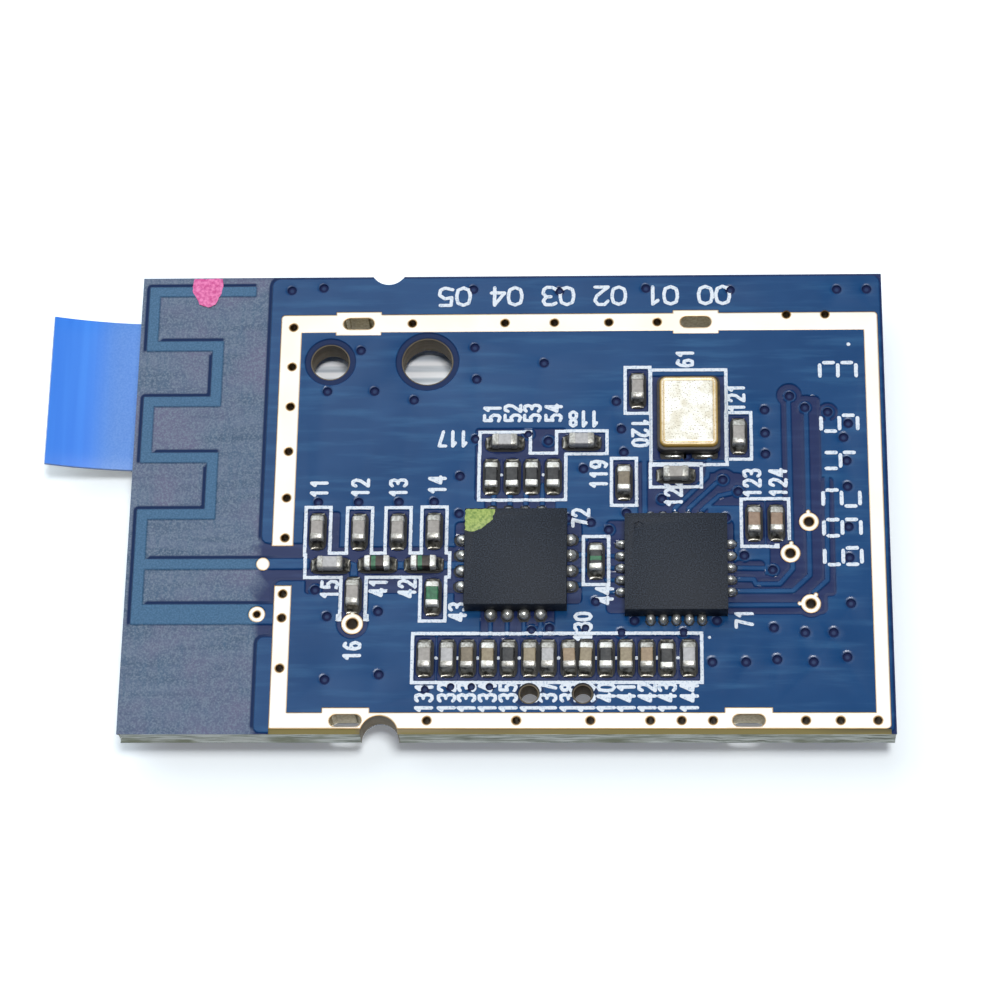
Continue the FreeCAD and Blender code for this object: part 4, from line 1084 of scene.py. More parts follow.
def make_ring():
    """Gold ring for a shield can, open at its slots and vias."""
    cuts = RING_VIA_DISCS + SLOT_LINES

    def inside(x, y):
        return np.maximum(ring_distance(x, y), -union(cuts, x, y))

    loops = []
    for offset in (0.0, -RIM_WIDTH):
        low = RING_BOTTOM - offset
        loops += outlines(RING_RECTS[:1] + TABS, (offset,), 6)
        loops += outlines(RING_RECTS[1:] + NOTCH_DISCS, (-offset,), 8)
        loops += [[(-1, low), (LENGTH + 1, low), (LENGTH + 1, -1), (-1, -1)]]
    loops += outlines(RING_VIA_DISCS, (0.0, 0.045), 4) + outlines(SLOT_LINES, (0.0, RIM_WIDTH), 8)
    return plating("shield_ring_plating", loops, inside, "shield_ring")


SMALL_WALL = 0.025
WALL_DROP = 0.004


def make_barrels():
    """Plating down the walls of the slots, the ring's vias and the test pads' holes."""
    small = RING_VIA_DISCS + PAD_HOLES
    outer = slot_shapes(PLATING) + small
    inner = SLOT_LINES + [disc(x, y, radius - SMALL_WALL) for _, x, y, radius in small]

    def keep(x, y):
        return np.maximum(union(outer, x, y), -union(inner, x, y)) < 0

    loops = outlines(outer, steps=4) + outlines(inner, steps=4)
    fields = {"small": lambda x, y, z: (union(small, x, y) < 0.1).astype(float)}
    top = COPPER_TOP - WALL_DROP
    piece = sheet("plated_walls", loops, keep, top, -COPPER_THICKNESS, "barrel", fields, smooth_angle=40.0)
    return dress(piece, "gold_plating")


def make_pads():
    """Ringed test pads with teardrops, and the plain dot on the feed line."""
    discs = PAD_DISCS + TEARDROP_DISCS

    def inside(x, y):
        return np.maximum(union(discs, x, y), -union(PAD_HOLES, x, y))

    loops = outlines(discs, (0.0, -RIM_WIDTH), 7) + outlines(PAD_HOLES, (0.0, 0.045), 5)
    return plating("test_pad_plating", loops, inside, "test_pads")


# Printing: part outlines and plain numbers

PRINT = 0.13
PRINT_PROUD = 0.016
PRINT_DEPTH = 0.03
LETTER = 0.135
GLYPHS = {
    "0": [[(0.5, 1), (0.9, 0.88), (1, 0.6), (1, 0.4), (0.9, 0.12), (0.5, 0),
           (0.1, 0.12), (0, 0.4), (0, 0.6), (0.1, 0.88), (0.5, 1)]],
    "1": [[(0.15, 0.78), (0.55, 1), (0.55, 0)]],
    "2": [[(0.02, 0.8), (0.25, 1), (0.75, 1), (1, 0.78), (0.85, 0.5), (0, 0), (1, 0)]],
    "3": [[(0.02, 0.9), (0.3, 1), (0.8, 1), (0.98, 0.78), (0.75, 0.54), (0.4, 0.54)],
          [(0.75, 0.54), (1, 0.34), (0.92, 0.1), (0.7, 0), (0.3, 0), (0.02, 0.12)]],
    "4": [[(0.75, 0), (0.75, 1), (0, 0.3), (1, 0.3)]],
    "5": [[(0.95, 1), (0.12, 1), (0.08, 0.55), (0.6, 0.62), (1, 0.42), (0.95, 0.12), (0.6, 0), (0.02, 0.1)]],
    "6": [[(0.9, 0.92), (0.5, 1), (0.12, 0.78), (0, 0.35), (0.2, 0.03), (0.75, 0.02),
           (1, 0.28), (0.8, 0.55), (0.3, 0.56), (0.04, 0.38)]],
    "7": [[(0, 1), (1, 1), (0.4, 0)]],
    "8": [[(0.5, 1), (0.92, 0.88), (0.9, 0.64), (0.5, 0.53), (0.1, 0.64), (0.08, 0.88), (0.5, 1)],
          [(0.5, 0.53), (0.98, 0.38), (0.96, 0.12), (0.5, 0), (0.04, 0.12), (0.02, 0.38), (0.5, 0.53)]],
    "9": [[(0.1, 0.08), (0.5, 0), (0.88, 0.22), (1, 0.65), (0.8, 0.97), (0.25, 0.98),
           (0, 0.72), (0.2, 0.45), (0.7, 0.44), (0.96, 0.62)]],
}


def number_strokes(text, x, y, turn, height=0.62, advance=0.42, width=LETTER):
    """Strokes of a plain number, centred on a point and turned."""
    place = placer(x, y, 0.0, turn)
    lines = []
    glyph_width = advance - width * 1.15
    for index, glyph in enumerate(text):
        if glyph == " ":
            continue
        left = (index - len(text) / 2) * advance + (advance - glyph_width) / 2
        for path in GLYPHS[glyph]:
            points = [place(left + px * glyph_width, (py - 0.5) * height, 0.0)[:2] for px, py in path]
            lines += stroke(points, width)
    return lines


# Text, place and turn of the plain numbers beside the parts
LABELS = [
    ("11", 7.52, 10.19, 90), ("12", 9.16, 10.2, 90), ("13", 10.67, 10.2, 90), ("14", 12.21, 10.32, 90),
    ("15", 8.07, 5.92, 90), ("41", 9.97, 6.0, 90), ("42", 11.11, 5.95, 90), ("43", 13.11, 4.97, 90),
    ("16", 9.03, 3.37, 90), ("61", 22.05, 15.77, 90), ("121", 24.07, 14.02, 90), ("120", 20.26, 12.52, -90),
    ("119", 18.6, 10.75, 90), ("122", 21.55, 9.97, 90), ("123", 24.65, 10.35, 90), ("124", 25.67, 10.37, 90),
    ("51", 14.35, 13.4, 90), ("52", 15.17, 13.4, 90), ("53", 15.95, 13.4, 90), ("54", 16.8, 13.4, 90),
    ("117", 12.8, 12.3, 180), ("118", 18.0, 13.14, 180), ("72", 17.9, 8.9, 90), ("71", 24.25, 4.66, 90),
    ("44", 18.83, 5.65, 90), ("130", 18.0, 4.35, 90),
]
ROW_LABEL_Y = 1.45
SERIES = "00 01 02 03 04 05"
SERIES_PLACE = (18.0, 18.57)
SEGMENT_GLYPH_ROWS = [15.2, 12.9, 11.3, 9.7, 8.45, 7.25]
SEGMENT_X = 28.15
FIGURES = "354296"
FIGURE_BARS = {"2": "abged", "3": "abgcd", "4": "fgbc", "5": "afgcd", "6": "afgecd", "9": "abgfcd"}
FRONT_ROW_TOP = 4
FRONT_ROW = sorted(POSES[name][0] for name in CHIPS if POSES[name][1] < FRONT_ROW_TOP)
FIRST_ROW_NUMBER = 131
BAR_LINE = 0.15
BAR_GAP = 0.17
FIGURE_HALF = (0.72, 0.34)


def row_labels():
    """Numbers under the front row, one below each part."""
    return [(str(FIRST_ROW_NUMBER + index), x, ROW_LABEL_Y, 90) for index, x in enumerate(FRONT_ROW)]


def segment_glyph(figure, x, y):
    """A plain figure of separate bars, lying on its side; its bars are named clockwise from the top."""
    half_height, half_width = FIGURE_HALF
    middles = {"a": 1, "g": 0, "d": -1}
    sides = {"b": (1, 1), "c": (-1, 1), "e": (-1, -1), "f": (1, -1)}
    lines = []
    for name in FIGURE_BARS[figure]:
        if name in middles:
            across = x - middles[name] * half_height
            ends = [(across, y - half_width + 0.1), (across, y + half_width - 0.1)]
        else:
            half, side = sides[name]
            level = y + side * half_width
            ends = [(x - half * BAR_GAP, level), (x - half * (half_height - BAR_GAP), level)]
        lines += stroke(ends, BAR_LINE)
    return lines


def frame_bars():
    """Printed line of each part group as straight bars, read from the frame's outline node."""
    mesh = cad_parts["silkscreen_outlines"].data
    low = min(vertex.co.z for vertex in mesh.vertices)
    bars = []
    for polygon in mesh.polygons:
        if abs(polygon.normal.z) > 0.5 or polygon.area < 1e-12:
            continue
        corners = [mesh.vertices[index].co for index in polygon.vertices]
        foot = [corner for corner in corners if corner.z - low < 1e-6]
        flat = sorted({(round(c.x / MM - CORNER.x, 4), round(c.y / MM - CORNER.y, 4)) for c in foot})
        if len(flat) == 2:
            (ax, ay), (bx, by) = flat
            back_x = polygon.normal.x * PRINT
            back_y = polygon.normal.y * PRINT
            xs = sorted((ax, bx, ax - back_x, bx - back_x))
            ys = sorted((ay, by, ay - back_y, by - back_y))
            bars.append(rect(xs[0], ys[0], xs[-1], ys[-1], 0.02))
    return bars


def ragged(loop, amount=0.01):
    """The loop with small uneven steps, as printed ink has."""
    points = []
    for index, (x0, y0) in enumerate(loop):
        x1, y1 = loop[(index + 1) % len(loop)]
        count = max(1, int(math.hypot(x1 - x0, y1 - y0) / 0.09))
        for step in range(count):
            share = step / count
            x = x0 + (x1 - x0) * share
            y = y0 + (y1 - y0) * share
            dx = noise.noise(Vector((x * 9, y * 9, 0.3))) * amount
            dy = noise.noise(Vector((x * 9, y * 9, 7.7))) * amount
            points.append((x + dx, y + dy))
    return points


def make_print():
    """White print: lines round the parts, plain numbers and dots."""
    lines = frame_bars()
    for text, x, y, turn in LABELS + row_labels():
        lines += number_strokes(text, x, y, turn)
    lines += number_strokes(SERIES, *SERIES_PLACE, 180, 0.78, 0.7, 0.14)
    for figure, y in zip(FIGURES, SEGMENT_GLYPH_ROWS):
        lines += segment_glyph(figure, SEGMENT_X, y)
    dots = [disc((a + b) / 2, 3.08, 0.07) for a, b in zip(FRONT_ROW, FRONT_ROW[1:]) if b - a > 0.72]
    dots += [disc(x, 10.75, 0.06) for x in (14.75, 16.4)] + [disc(28.6, 16.35, 0.08), disc(22.9, 3.9, 0.06)]
    shapes = lines + dots
    blocked = [disc(x, y, 0.15) for x, y in VIAS]
    blocked += [disc(x, y, radius + PEG_MASK_GAP) for x, y, radius in PEG_HOLES + HOLES]
    blocked += CHIP_OPENINGS + PAD_DISCS + CRYSTAL_OPENINGS + PIN_OPENINGS
    loops = [ragged(loop) for loop in outlines(shapes, steps=3)] + outlines(blocked, steps=4) + copper_loops()

    def keep(x, y):
        open_board = (ring_distance(x, y) > 0.02) & (board_distance(x, y) < -0.02)
        return (union(shapes, x, y) < 0.006) & (union(blocked, x, y) > 0) & open_board

    def top(x, y):
        return raised_top(x, y) + PRINT_PROUD

    piece = sheet("print_top", loops, keep, top, lambda x, y: top(x, y) - PRINT_DEPTH, "ink")
    return dress(piece, "white_print", "silkscreen_outlines")


# Chip parts

def section(width, height, scale, radius, steps=3):
    """Rounded rectangle across a chip part, standing on its seat."""
    half_y = width / 2 * scale
    half_z = height / 2 * scale
    middle = height / 2
    points = []
    for centre_y, centre_z, start in ((1, 1, 0), (-1, 1, 90), (-1, -1, 180), (1, -1, 270)):
        y = centre_y * (half_y - radius)
        z = middle + centre_z * (half_z - radius)
        for step in range(steps + 1):
            angle = math.radians(start + 90 * step / steps)
            points.append((y + radius * math.cos(angle), z + radius * math.sin(angle)))
    return points


def loft(rings):
    """Faces between rings of points, with both ends closed."""
    points = [point for ring in rings for point in ring]
    count = len(rings[0])
    faces = []
    for index in range(len(rings) - 1):
        for step in range(count):
            a = index * count + step
            b = index * count + (step + 1) % count
            faces.append([a, b, b + count, a + count])
    faces.append(list(range(count))[::-1])
    faces.append([len(points) - count + step for step in range(count)])
    return points, faces


CAP_LENGTH = 0.24

# Body tone, end finish, kind and numbers of the parts that differ from the plain ones
LOOKS = [
    ("light", "cap", "capacitor", (5, 7, 8, 16, 20, 25)),
    ("brown", "cap", "capacitor", (13, 14)),
    ("dark_beige", "bright_cap", "capacitor", (9,)),
    ("dark_beige", "cap", "capacitor", (17,)),
    ("beige", "bright_cap", "capacitor", (18, 22, 23)),
    ("beige", "cap", "capacitor", (19,)),
    ("tan", "cap", "capacitor", (21, 24)),
    ("dark_brown", "bright_cap", "inductor", (1, 2)),
    ("green", "bright_cap", "inductor", (3,)),
    ("black", "bright_cap", "inductor", (4, 6)),
    ("black", "cap", "inductor", (5,)),
]
CHIP_LOOKS = {f"{kind}_{part:02d}": (tone, ends) for tone, ends, kind, parts in LOOKS for part in parts}
GREEN_BANDS = {"inductor_01": -0.13, "inductor_02": -0.13, "inductor_04": -0.06}


def make_chip(name):
    """Ceramic body between two metal ends whose inner edges are a little uneven."""
    x, y, turn, height = POSES[name]
    seat = corner_box(name)[2]
    half = CHIP_LENGTH / 2
    seed = CHIPS.index(name)
    cap = CAP_LENGTH + 0.03 * noise.noise(Vector((seed, 0.5, 0)))
    ends = [(0.0, 0.82, 0.08), (0.014, 0.93, 0.08), (0.05, 1.0, 0.08)]
    ends += [(cap - 0.012, 1.0, 0.05), (cap, 0.93, 0.045)]
    stations = [(-half + along, scale, radius) for along, scale, radius in ends]
    band = GREEN_BANDS.get(name)
    if band is not None:
        stations += [(band - 0.085, 0.93, 0.045), (band + 0.085, 0.93, 0.045)]
    stations += [(half - along, scale, radius) for along, scale, radius in reversed(ends)]
    rings = []
    for station, (along, scale, radius) in enumerate(stations):
        edge = station in (3, 4, len(stations) - 4, len(stations) - 5)
        ring = []
        for py, pz in section(CHIP_WIDTH, height, scale, radius):
            shift = 0.022 * noise.noise(Vector((py * 6, pz * 6, seed + along * 9))) if edge else 0.0
            ring.append((along + shift, py, pz))
        rings.append(ring)
    points, faces = loft(rings)
    count = len(rings[0])
    indices = []
    last = len(stations) - 1
    for face_index in range(len(faces)):
        gap = face_index // count
        metal = gap < 4 or gap >= last - 4 or face_index >= last * count
        green = band is not None and gap == 5
        indices.append(1 if metal else 2 if green else 0)
    place = placer(x, y, seat, turn)
    placed = [place(*point) for point in points]
    kind = name.split("_")[0]
    body, metal = CHIP_LOOKS.get(name, ("black", "bright_cap") if kind == "resistor" else ("grey", "cap"))
    piece = finish_mesh(name + "_body", placed, faces, [body, metal, "green"], 40.0, indices)
    slots = {"capacitor": "capacitor_ceramic", "inductor": "inductor_ceramic", "resistor": "resistor_coat"}
    return dress(piece, slots[kind], name)


# Solder

FILLET_STEPS = 8


def fillet_grid(height, seed, reach=0.22, half_width=0.215):
    """Hollow-faced solder that climbs a chip's end, made about the end face's foot and facing +X."""
    top = []
    for i in range(FILLET_STEPS + 1):
        t = i / FILLET_STEPS
        for j in range(FILLET_STEPS + 1):
            s = 2 * j / FILLET_STEPS - 1
            foot = 0.05 * t * t * abs(s) ** 3
            wobble = 0.012 * noise.noise(Vector((seed, t * 3, s * 2)))
            px = -0.03 + (reach + 0.03) * t + foot + wobble * t
            py = s * (half_width + 0.025 * t * t)
            climb = height * (1 - t) ** 2.3 * (1 - 0.22 * s ** 4)
            pz = 0.014 + climb + 0.016 * abs(s) ** 3 * t * (1 - t) * 4 + wobble * (1 - t)
            top.append((px, py, pz))
    return top


def add_grid(points, faces, top, place):
    """Adds a fillet's grid and a flat copy of it below, closed all round."""
    start = len(points)
    points += [place(px, py, pz) for px, py, pz in top]
    points += [place(px, py, -0.001) for px, py, pz in top]
    last = FILLET_STEPS
    width = last + 1
    low = start + len(top)
    for i in range(last):
        for j in range(last):
            a = i * width + j
            quad = [a, a + width, a + width + 1, a + 1]
            faces.append([start + index for index in quad])
            faces.append([low + index for index in quad[::-1]])
    border = [i * width for i in range(last + 1)] + [last * width + j for j in range(1, width)]
    border += [i * width + last for i in range(last - 1, -1, -1)] + list(range(last - 1, 0, -1))
    for a, b in zip(border, border[1:] + border[:1]):
        faces.append([start + a, low + a, low + b, start + b])


def add_blob(points, faces, place, size_x, size_y, size_z, seed):
    """Rounded drop of solder, cut off flat below."""
    rings, steps = 6, 12
    start = len(points)
    for ring in range(rings):
        rise = ring / rings * math.pi / 2
        for step in range(steps):
            angle = 2 * math.pi * step / steps
            cos, sin = math.cos(angle), math.sin(angle)
            swell = 1 + 0.12 * noise.noise(Vector((cos * 1.5, sin * 1.5, seed + ring * 0.2)))
            flat = math.cos(rise) ** 0.8 * swell
            points.append(place(size_x * flat * cos, size_y * flat * sin, size_z * math.sin(rise)))
    points.append(place(0, 0, size_z))
    crown = len(points) - 1
    for ring in range(rings - 1):
        for step in range(steps):
            a = start + ring * steps + step
            b = start + ring * steps + (step + 1) % steps
            faces.append([a, b, b + steps, a + steps])
    top = start + (rings - 1) * steps
    for step in range(steps):
        faces.append([top + step, top + (step + 1) % steps, crown])
    faces.append([start + step for step in range(steps)][::-1])


def make_solder():
    """Fillets at the chip parts' ends, and drops at the chips' terminals and the crystal's lands."""
    points = []
    faces = []
    for seed, name in enumerate(CHIPS):
        x, y, turn, height = POSES[name]
        for side in (0, 180):
            angle = math.radians(turn + side)
            end_x = x + CHIP_LENGTH / 2 * math.cos(angle)
            end_y = y + CHIP_LENGTH / 2 * math.sin(angle)
            climb = height * (0.72 + 0.16 * noise.noise(Vector((seed * 1.7, side, 0))))
            top = fillet_grid(climb, seed * 2.3 + side)
            add_grid(points, faces, top, placer(end_x, end_y, COPPER_TOP, turn + side))
    chip_faces = len(faces)
    for seed, (x, y, quarter, pitch) in enumerate(PIN_SPOTS):
        reach = 0.12 + 0.03 * noise.noise(Vector((seed, 3, 3)))
        turn = math.radians(90 * quarter)
        centre = placer(x + reach * math.cos(turn), y + reach * math.sin(turn), COPPER_TOP, 90 * quarter)
        tall = 0.26 + 0.04 * noise.noise(Vector((seed, 8, 1)))
        add_blob(points, faces, centre, 0.25, 0.34 * pitch, tall, seed)
    for opening in CRYSTAL_OPENINGS:
        x0, y0, x1, y1 = opening[1:5]
        near = y0 < (CRYSTAL[1] + CRYSTAL[4]) / 2
        edge = y0 + 0.09 if near else y1 - 0.06
        spot = placer((x0 + x1) / 2, edge, COPPER_TOP, 0)
        add_blob(points, faces, spot, 0.34, 0.06, 0.05, x0)
    # Painted shade: the chip parts' fillets take the dark solder
    shaded_fillet = [1 if index < chip_faces else 0 for index in range(len(faces))]
    piece = finish_mesh("solder_fillets", points, faces, ["solder", "fillet"], 50.0, shaded_fillet)
    return dress(piece, "solder", "solder_joints")


# Leadless packages, crystal and connector

def bevelled(name, node, width_mm, material, slot, segments=2):
    """The node's own shape with its edges rounded a little."""
    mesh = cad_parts[node].data.copy()
    mesh.name = name
    mesh.materials.clear()
    mesh.materials.append(FINISHES[material])
    made = bmesh.new()
    made.from_mesh(mesh)
    bmesh.ops.remove_doubles(made, verts=made.verts, dist=1e-7)
    bmesh.ops.dissolve_limit(made, angle_limit=math.radians(1), verts=made.verts, edges=made.edges)
    closed = [edge for edge in made.edges if len(edge.link_faces) == 2]
    sharp = [edge for edge in closed if edge.calc_face_angle(0) > math.radians(35)]
    bmesh.ops.bevel(
        made,
        geom=sharp,
        offset=width_mm * MM,
        segments=segments,
        profile=0.5,
        affect="EDGES",
        clamp_overlap=True,
    )
    made.to_mesh(mesh)
    made.free()
    for polygon in mesh.polygons:
        polygon.use_smooth = True
        polygon.material_index = 0
    mesh.set_sharp_from_angle(angle=math.radians(40))
    piece = bpy.data.objects.new(name, mesh)
    bpy.context.scene.collection.objects.link(piece)
    return dress(piece, slot, node)


# Outlines of the marking paint: green from the left chip's far corner, pink at the board's far edge
GREEN_DAB = [(0.03, 0.03), (0.0, 0.95), (0.35, 0.98), (0.8, 0.78), (1.1, 0.45), (1.18, 0.03)]
PINK_DAB = [(2.05, 19.46), (2.02, 18.9), (2.2, 18.55), (2.35, 18.3), (2.7, 18.15), (3.0, 18.3), (3.2, 18.7)]
PINK_DAB += [(3.28, 19.1), (3.25, 19.46)]


def make_paint_dab(name, outline_points, z, material, slot):
    """A thin uneven dab of marking paint."""
    loop = ragged(outline_points, 0.05)
    xs = [point[0] for point in loop]
    ys = [point[1] for point in loop]
    centre = (sum(xs) / len(xs), sum(ys) / len(ys))
    inner = [(centre[0] + (x - centre[0]) * 0.9, centre[1] + (y - centre[1]) * 0.9) for x, y in loop]
    rings = [[(x, y, z - 0.002) for x, y in loop], [(x, y, z + 0.012) for x, y in inner]]
    points, faces = loft(rings)
    piece = finish_mesh(name, points, faces, [material], 30.0)
    return dress(piece, slot)


def crystal_ring(inset, z):
    x0, y0, _, x1, y1, _ = corner_box("crystal_lid")
    return [(x, y, z) for x, y in outline(rect(x0, y0, x1, y1, 0.27), -inset, 6)]


def make_lid():
    """Pressed lid with a rounded rim and a shallow step inside it."""
    low, high = corner_box("crystal_lid")[2], corner_box("crystal_lid")[5]
    rise = high - low
    steps = [(0.0, 0.0, 1.0), (0.0, 0.45, 1.0), (0.012, 0.68, 1.0), (0.04, 0.88, 0.9), (0.085, 0.98, 0.55),
             (0.12, 1.0, 0.2), (0.15, 0.93, 0.75), (0.18, 0.93, 0.6), (0.215, 1.0, 0.0), (0.26, 1.0, 0.0)]
    rings = [crystal_ring(inset, low + rise * share) for inset, share, rim in steps]
    points, faces = loft(rings)
    piece = finish_mesh("crystal_cover", points, faces, ["lid"], 50.0)
    count = len(rings[0])
    add_field(piece, "rim", [steps[index // count][2] for index in range(len(points))])
    return dress(piece, "plated_lid", "crystal_lid")


# Flat cable

BEND_START = 1.3
BEND_RADIUS = 15.0
CABLE_REACH = 3.75
CONDUCTOR = 0.05
CONDUCTOR_PITCH = 0.5
FILM = 0.035
STIFFENER = 0.18
STIFFENER_LENGTH = 6.0
INNER_STIFFENER = 5.0
BARE_LENGTH = 3.5
BEND_ANGLE = math.asin((BEND_START + CABLE_REACH) / BEND_RADIUS)
FREE_END = BEND_START - BEND_ANGLE * BEND_RADIUS
conductor_box = corner_box("cable_conductors")
CABLE_Z = conductor_box[2] + CONDUCTOR / 2
CABLE_END = conductor_box[3]
stiff_box = corner_box("cable_stiffeners")
CABLE_SIDES = (stiff_box[1], stiff_box[4])


def cable_point(run, height):
    """Point of the cable: run is x along the straight part, and below the bend's start the arc's length."""
    if run >= BEND_START:
        return run, CABLE_Z + height
    angle = (BEND_START - run) / BEND_RADIUS
    reach = BEND_RADIUS - height
    return BEND_START - reach * math.sin(angle), CABLE_Z + BEND_RADIUS - reach * math.cos(angle)


def ribbon(start, end, low, high, ripple, points, faces, columns=72):
    """Strip along the cable between two heights, its faces rippled over the conductors."""
    rows = max(2, round(abs(end - start) / 0.35))
    y0, y1 = CABLE_SIDES
    base = len(points)
    for row in range(rows + 1):
        run = start + (end - start) * row / rows
        for level, sign in ((high, 1), (low, -1)):
            for column in range(columns + 1):
                share = column / columns
                y = y0 + (y1 - y0) * share
                wave = 0.5 - 0.5 * math.cos(2 * math.pi * (y - y0) / CONDUCTOR_PITCH)
                edge = 0.5 * min(1.0, min(share, 1 - share) * columns / 1.5) + 0.5
                px, pz = cable_point(run, level + sign * ripple * (wave - 1))
                middle_x, middle_z = cable_point(run, (low + high) / 2)
                points.append((middle_x + (px - middle_x) * edge, y, middle_z + (pz - middle_z) * edge))
    width = columns + 1
    stride = 2 * width
    for row in range(rows):
        a = base + row * stride
        b = a + stride
        for column in range(columns):
            faces.append([a + column, b + column, b + column + 1, a + column + 1])
            low_a, low_b = a + width + column, b + width + column
            faces.append([low_a + 1, low_b + 1, low_b, low_a])
        faces.append([a, a + width, b + width, b])
        faces.append([a + columns, b + columns, b + width + columns, a + width + columns])
    for row in (0, rows):
        a = base + row * stride
        for column in range(columns):
            quad = [a + column, a + column + 1, a + width + column + 1, a + width + column]
            faces.append(quad if row == 0 else quad[::-1])


def make_cable():
    """Ribbed film round the conductors, open at both ends' contacts, and the two blue stiffeners."""
    half = CONDUCTOR / 2 + FILM
    skin = CONDUCTOR / 2
    points = []
    faces = []
    ribbon(CABLE_END - BARE_LENGTH, FREE_END + BARE_LENGTH, -half, half, 0.02, points, faces)
    ribbon(CABLE_END, CABLE_END - BARE_LENGTH, -half, -skin, 0.0, points, faces)
    ribbon(FREE_END + BARE_LENGTH, FREE_END, skin, half, 0.0, points, faces)
    piece = finish_mesh("cable_film", points, faces, ["film"], 30.0)
    ys = np.array([point[1] for point in points])
    add_field(piece, "rib", ease(np.cos(2 * np.pi * (ys - CABLE_SIDES[0]) / CONDUCTOR_PITCH), 0.6, -0.6))
    dress(piece, "cable_film", "cable_insulation")
    points = []
    faces = []
    free_top = half + STIFFENER
    ribbon(FREE_END + STIFFENER_LENGTH, FREE_END, half, free_top, 0.0, points, faces, 24)
    ribbon(CABLE_END, CABLE_END - INNER_STIFFENER, -half - STIFFENER, -half, 0.0, points, faces, 24)
    piece = finish_mesh("cable_blue_film", points, faces, ["blue_film"], 30.0)
    xs = np.array([point[0] for point in points])
    # Painted sheen: paler towards the board, where the film bends
    add_field(piece, "sheen", ease(xs, -2.4, -0.9) * (1 - 0.4 * ease(xs, -0.3, 0.1)))
    dress(piece, "blue_stiffener", "cable_stiffeners")


# Nodes of the frame that keep their shape

NODE_FINISHES = {
    "component_lands": "land",
    "bottom_copper": "gold",
    "u1_terminals": "tin",
    "u2_terminals": "tin",
    "cable_conductors": "tin",
}


def finish_nodes():
    for name, finish in NODE_FINISHES.items():
        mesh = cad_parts[name].data
        if not mesh.materials:
            mesh.materials.append(FINISHES[finish])
        for index in range(len(mesh.materials)):
            mesh.materials[index] = FINISHES[finish]


# Floor, world and lamps

FLOOR_LIFT = 0.2
FLOOR_REACH = 1.5
FLOOR_GAP = 0.00002


def make_floor():
    """Plain pale floor that keeps the shadow and looks white, to the camera and in reflections."""
    z = cad_box[0][2] - FLOOR_GAP
    mesh = bpy.data.meshes.new("floor")
    corners = [(FLOOR_REACH * x, FLOOR_REACH * y, z) for x, y in ((-1, -1), (1, -1), (1, 1), (-1, 1))]
    mesh.from_pydata(corners, [], [(0, 1, 2, 3)])
    finish = Finish("floor_paint", 1.0, 0.0, Specular_IOR_Level=0.0, Emission_Color=(1.0, 1.0, 1.0, 1.0))
    rays = finish.node("ShaderNodeLightPath")
    seen = rays.outputs["Is Camera Ray"]
    for kind in ("Is Glossy Ray", "Is Transmission Ray"):
        both = finish.node("ShaderNodeMath", {"operation": "MAXIMUM"})
        finish.links.new(seen, both.inputs[0])
        finish.links.new(rays.outputs[kind], both.inputs[1])
        seen = both.outputs["Value"]
    finish.color(finish.mix(seen, paint(228, 228, 230), paint(244, 251, 255)))
    lift = finish.node("ShaderNodeMath", {"operation": "MULTIPLY"})
    lift.inputs[1].default_value = FLOOR_LIFT
    finish.links.new(seen, lift.inputs[0])
    finish.links.new(lift.outputs["Value"], finish.shader.inputs["Emission Strength"])
    mesh.materials.append(finish.material)
    floor = bpy.data.objects.new("floor", mesh)
    bpy.context.scene.collection.objects.link(floor)


KEY_PLACE = (0.075, -0.02, 0.595)
KEY_SIZE = 0.16
KEY_POWER = 2.1
SKY_COLOR = (0.86, 0.94, 1.0, 1.0)
SKY_LEVEL = 0.24
FRONT_LEVEL = 0.05
FRONT_TOWARDS = (0.0, -1.0, 0.1)
FRONT_SPREAD = (0.1, 0.8)
GLOW_LEVEL = 1.9
GLOW_TOWARDS = (-0.4, 0.55, 0.75)
GLOW_SPREAD = (0.8, 0.965)


def level_towards(tree, place, towards, spread, low, high):
    """A level that eases from low to high as a ray turns towards a direction."""
    dot = tree.nodes.new("ShaderNodeVectorMath")
    dot.operation = "DOT_PRODUCT"
    dot.inputs[1].default_value = Vector(towards).normalized()
    tree.links.new(place, dot.inputs[0])
    level = tree.nodes.new("ShaderNodeMapRange")
    level.interpolation_type = "SMOOTHSTEP"
    level.inputs["From Min"].default_value = spread[0]
    level.inputs["From Max"].default_value = spread[1]
    level.inputs["To Min"].default_value = low
    level.inputs["To Max"].default_value = high
    tree.links.new(dot.outputs["Value"], level.inputs["Value"])
    return level.outputs["Result"]


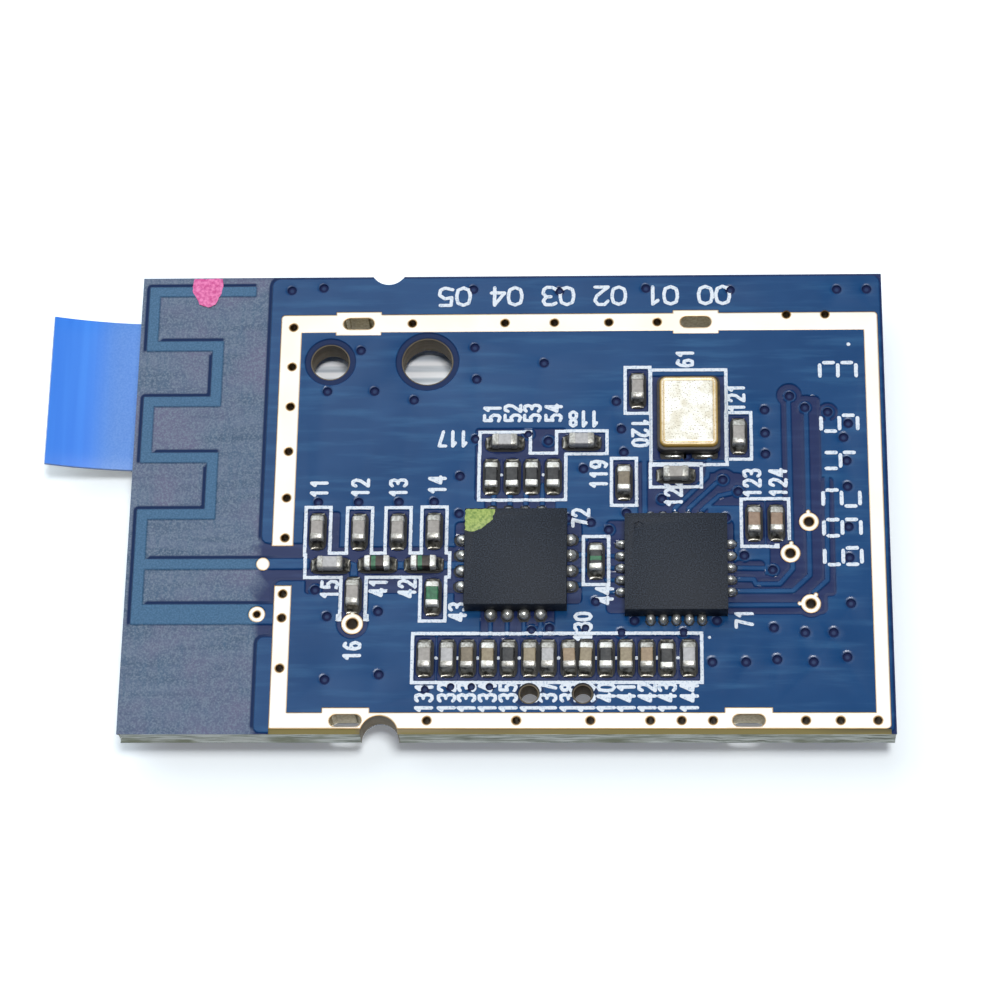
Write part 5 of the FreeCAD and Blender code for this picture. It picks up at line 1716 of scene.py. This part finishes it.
def make_world():
    """Even sky, dark low in front, with one broad, soft glow behind and to the left of the board."""
    world = bpy.data.worlds.new("studio")
    world.use_nodes = True
    tree = world.node_tree
    place = tree.nodes.new("ShaderNodeTexCoord").outputs["Generated"]
    sky = level_towards(tree, place, FRONT_TOWARDS, FRONT_SPREAD, SKY_LEVEL, FRONT_LEVEL)
    glow = level_towards(tree, place, GLOW_TOWARDS, GLOW_SPREAD, 0.0, GLOW_LEVEL)
    both = tree.nodes.new("ShaderNodeMath")
    tree.links.new(sky, both.inputs[0])
    tree.links.new(glow, both.inputs[1])
    rays = tree.nodes.new("ShaderNodeLightPath")
    strength = tree.nodes.new("ShaderNodeMix")
    strength.inputs["B"].default_value = 1.0
    tree.links.new(rays.outputs["Is Camera Ray"], strength.inputs["Factor"])
    tree.links.new(both.outputs["Value"], strength.inputs["A"])
    background = tree.nodes["Background"]
    background.inputs["Color"].default_value = SKY_COLOR
    tree.links.new(strength.outputs["Result"], background.inputs["Strength"])
    bpy.context.scene.world = world


def make_lamp(name, place, size, power):
    """Round lamp that looks at the frame's origin."""
    data = bpy.data.lights.new(name, "AREA")
    data.shape = "DISK"
    data.size = size
    data.energy = power
    lamp = bpy.data.objects.new(name, data)
    lamp.location = place
    lamp.rotation_euler = (-Vector(place)).to_track_quat("-Z", "Y").to_euler()
    bpy.context.scene.collection.objects.link(lamp)


bpy.context.scene.view_settings.view_transform = "Standard"
make_camera()
make_world()
make_lamp("key_lamp", KEY_PLACE, KEY_SIZE, KEY_POWER)
make_floor()
make_laminate()
make_top_mask()
make_bottom_mask()
make_ring()
make_barrels()
make_pads()
make_print()
for chip in CHIPS:
    make_chip(chip)
make_solder()
bevelled("u1_body", "u1_package", 0.02, "mould", "mould_compound")
bevelled("u2_body", "u2_package", 0.02, "mould", "mould_compound")
bevelled("crystal_tray", "crystal_base", 0.02, "dark_ceramic", "dark_ceramic")
make_lid()
bevelled("connector_body", "connector_housing", 0.03, "plastic", "connector_plastic")
bevelled("connector_brackets", "connector_hold_downs", 0.02, "tin", "tinned_metal")
bevelled("connector_springs", "connector_contacts", 0.012, "tin", "gold_plating", 1)
make_cable()
u2_box = corner_box("u2_package")
green_dab = [(u2_box[0] + x, u2_box[4] - y) for x, y in GREEN_DAB]
make_paint_dab("green_dab", green_dab, u2_box[5], "green_paint", "white_print")
make_paint_dab("pink_dab", PINK_DAB, MASK_TOP, "pink_paint", "white_print")
finish_nodes()
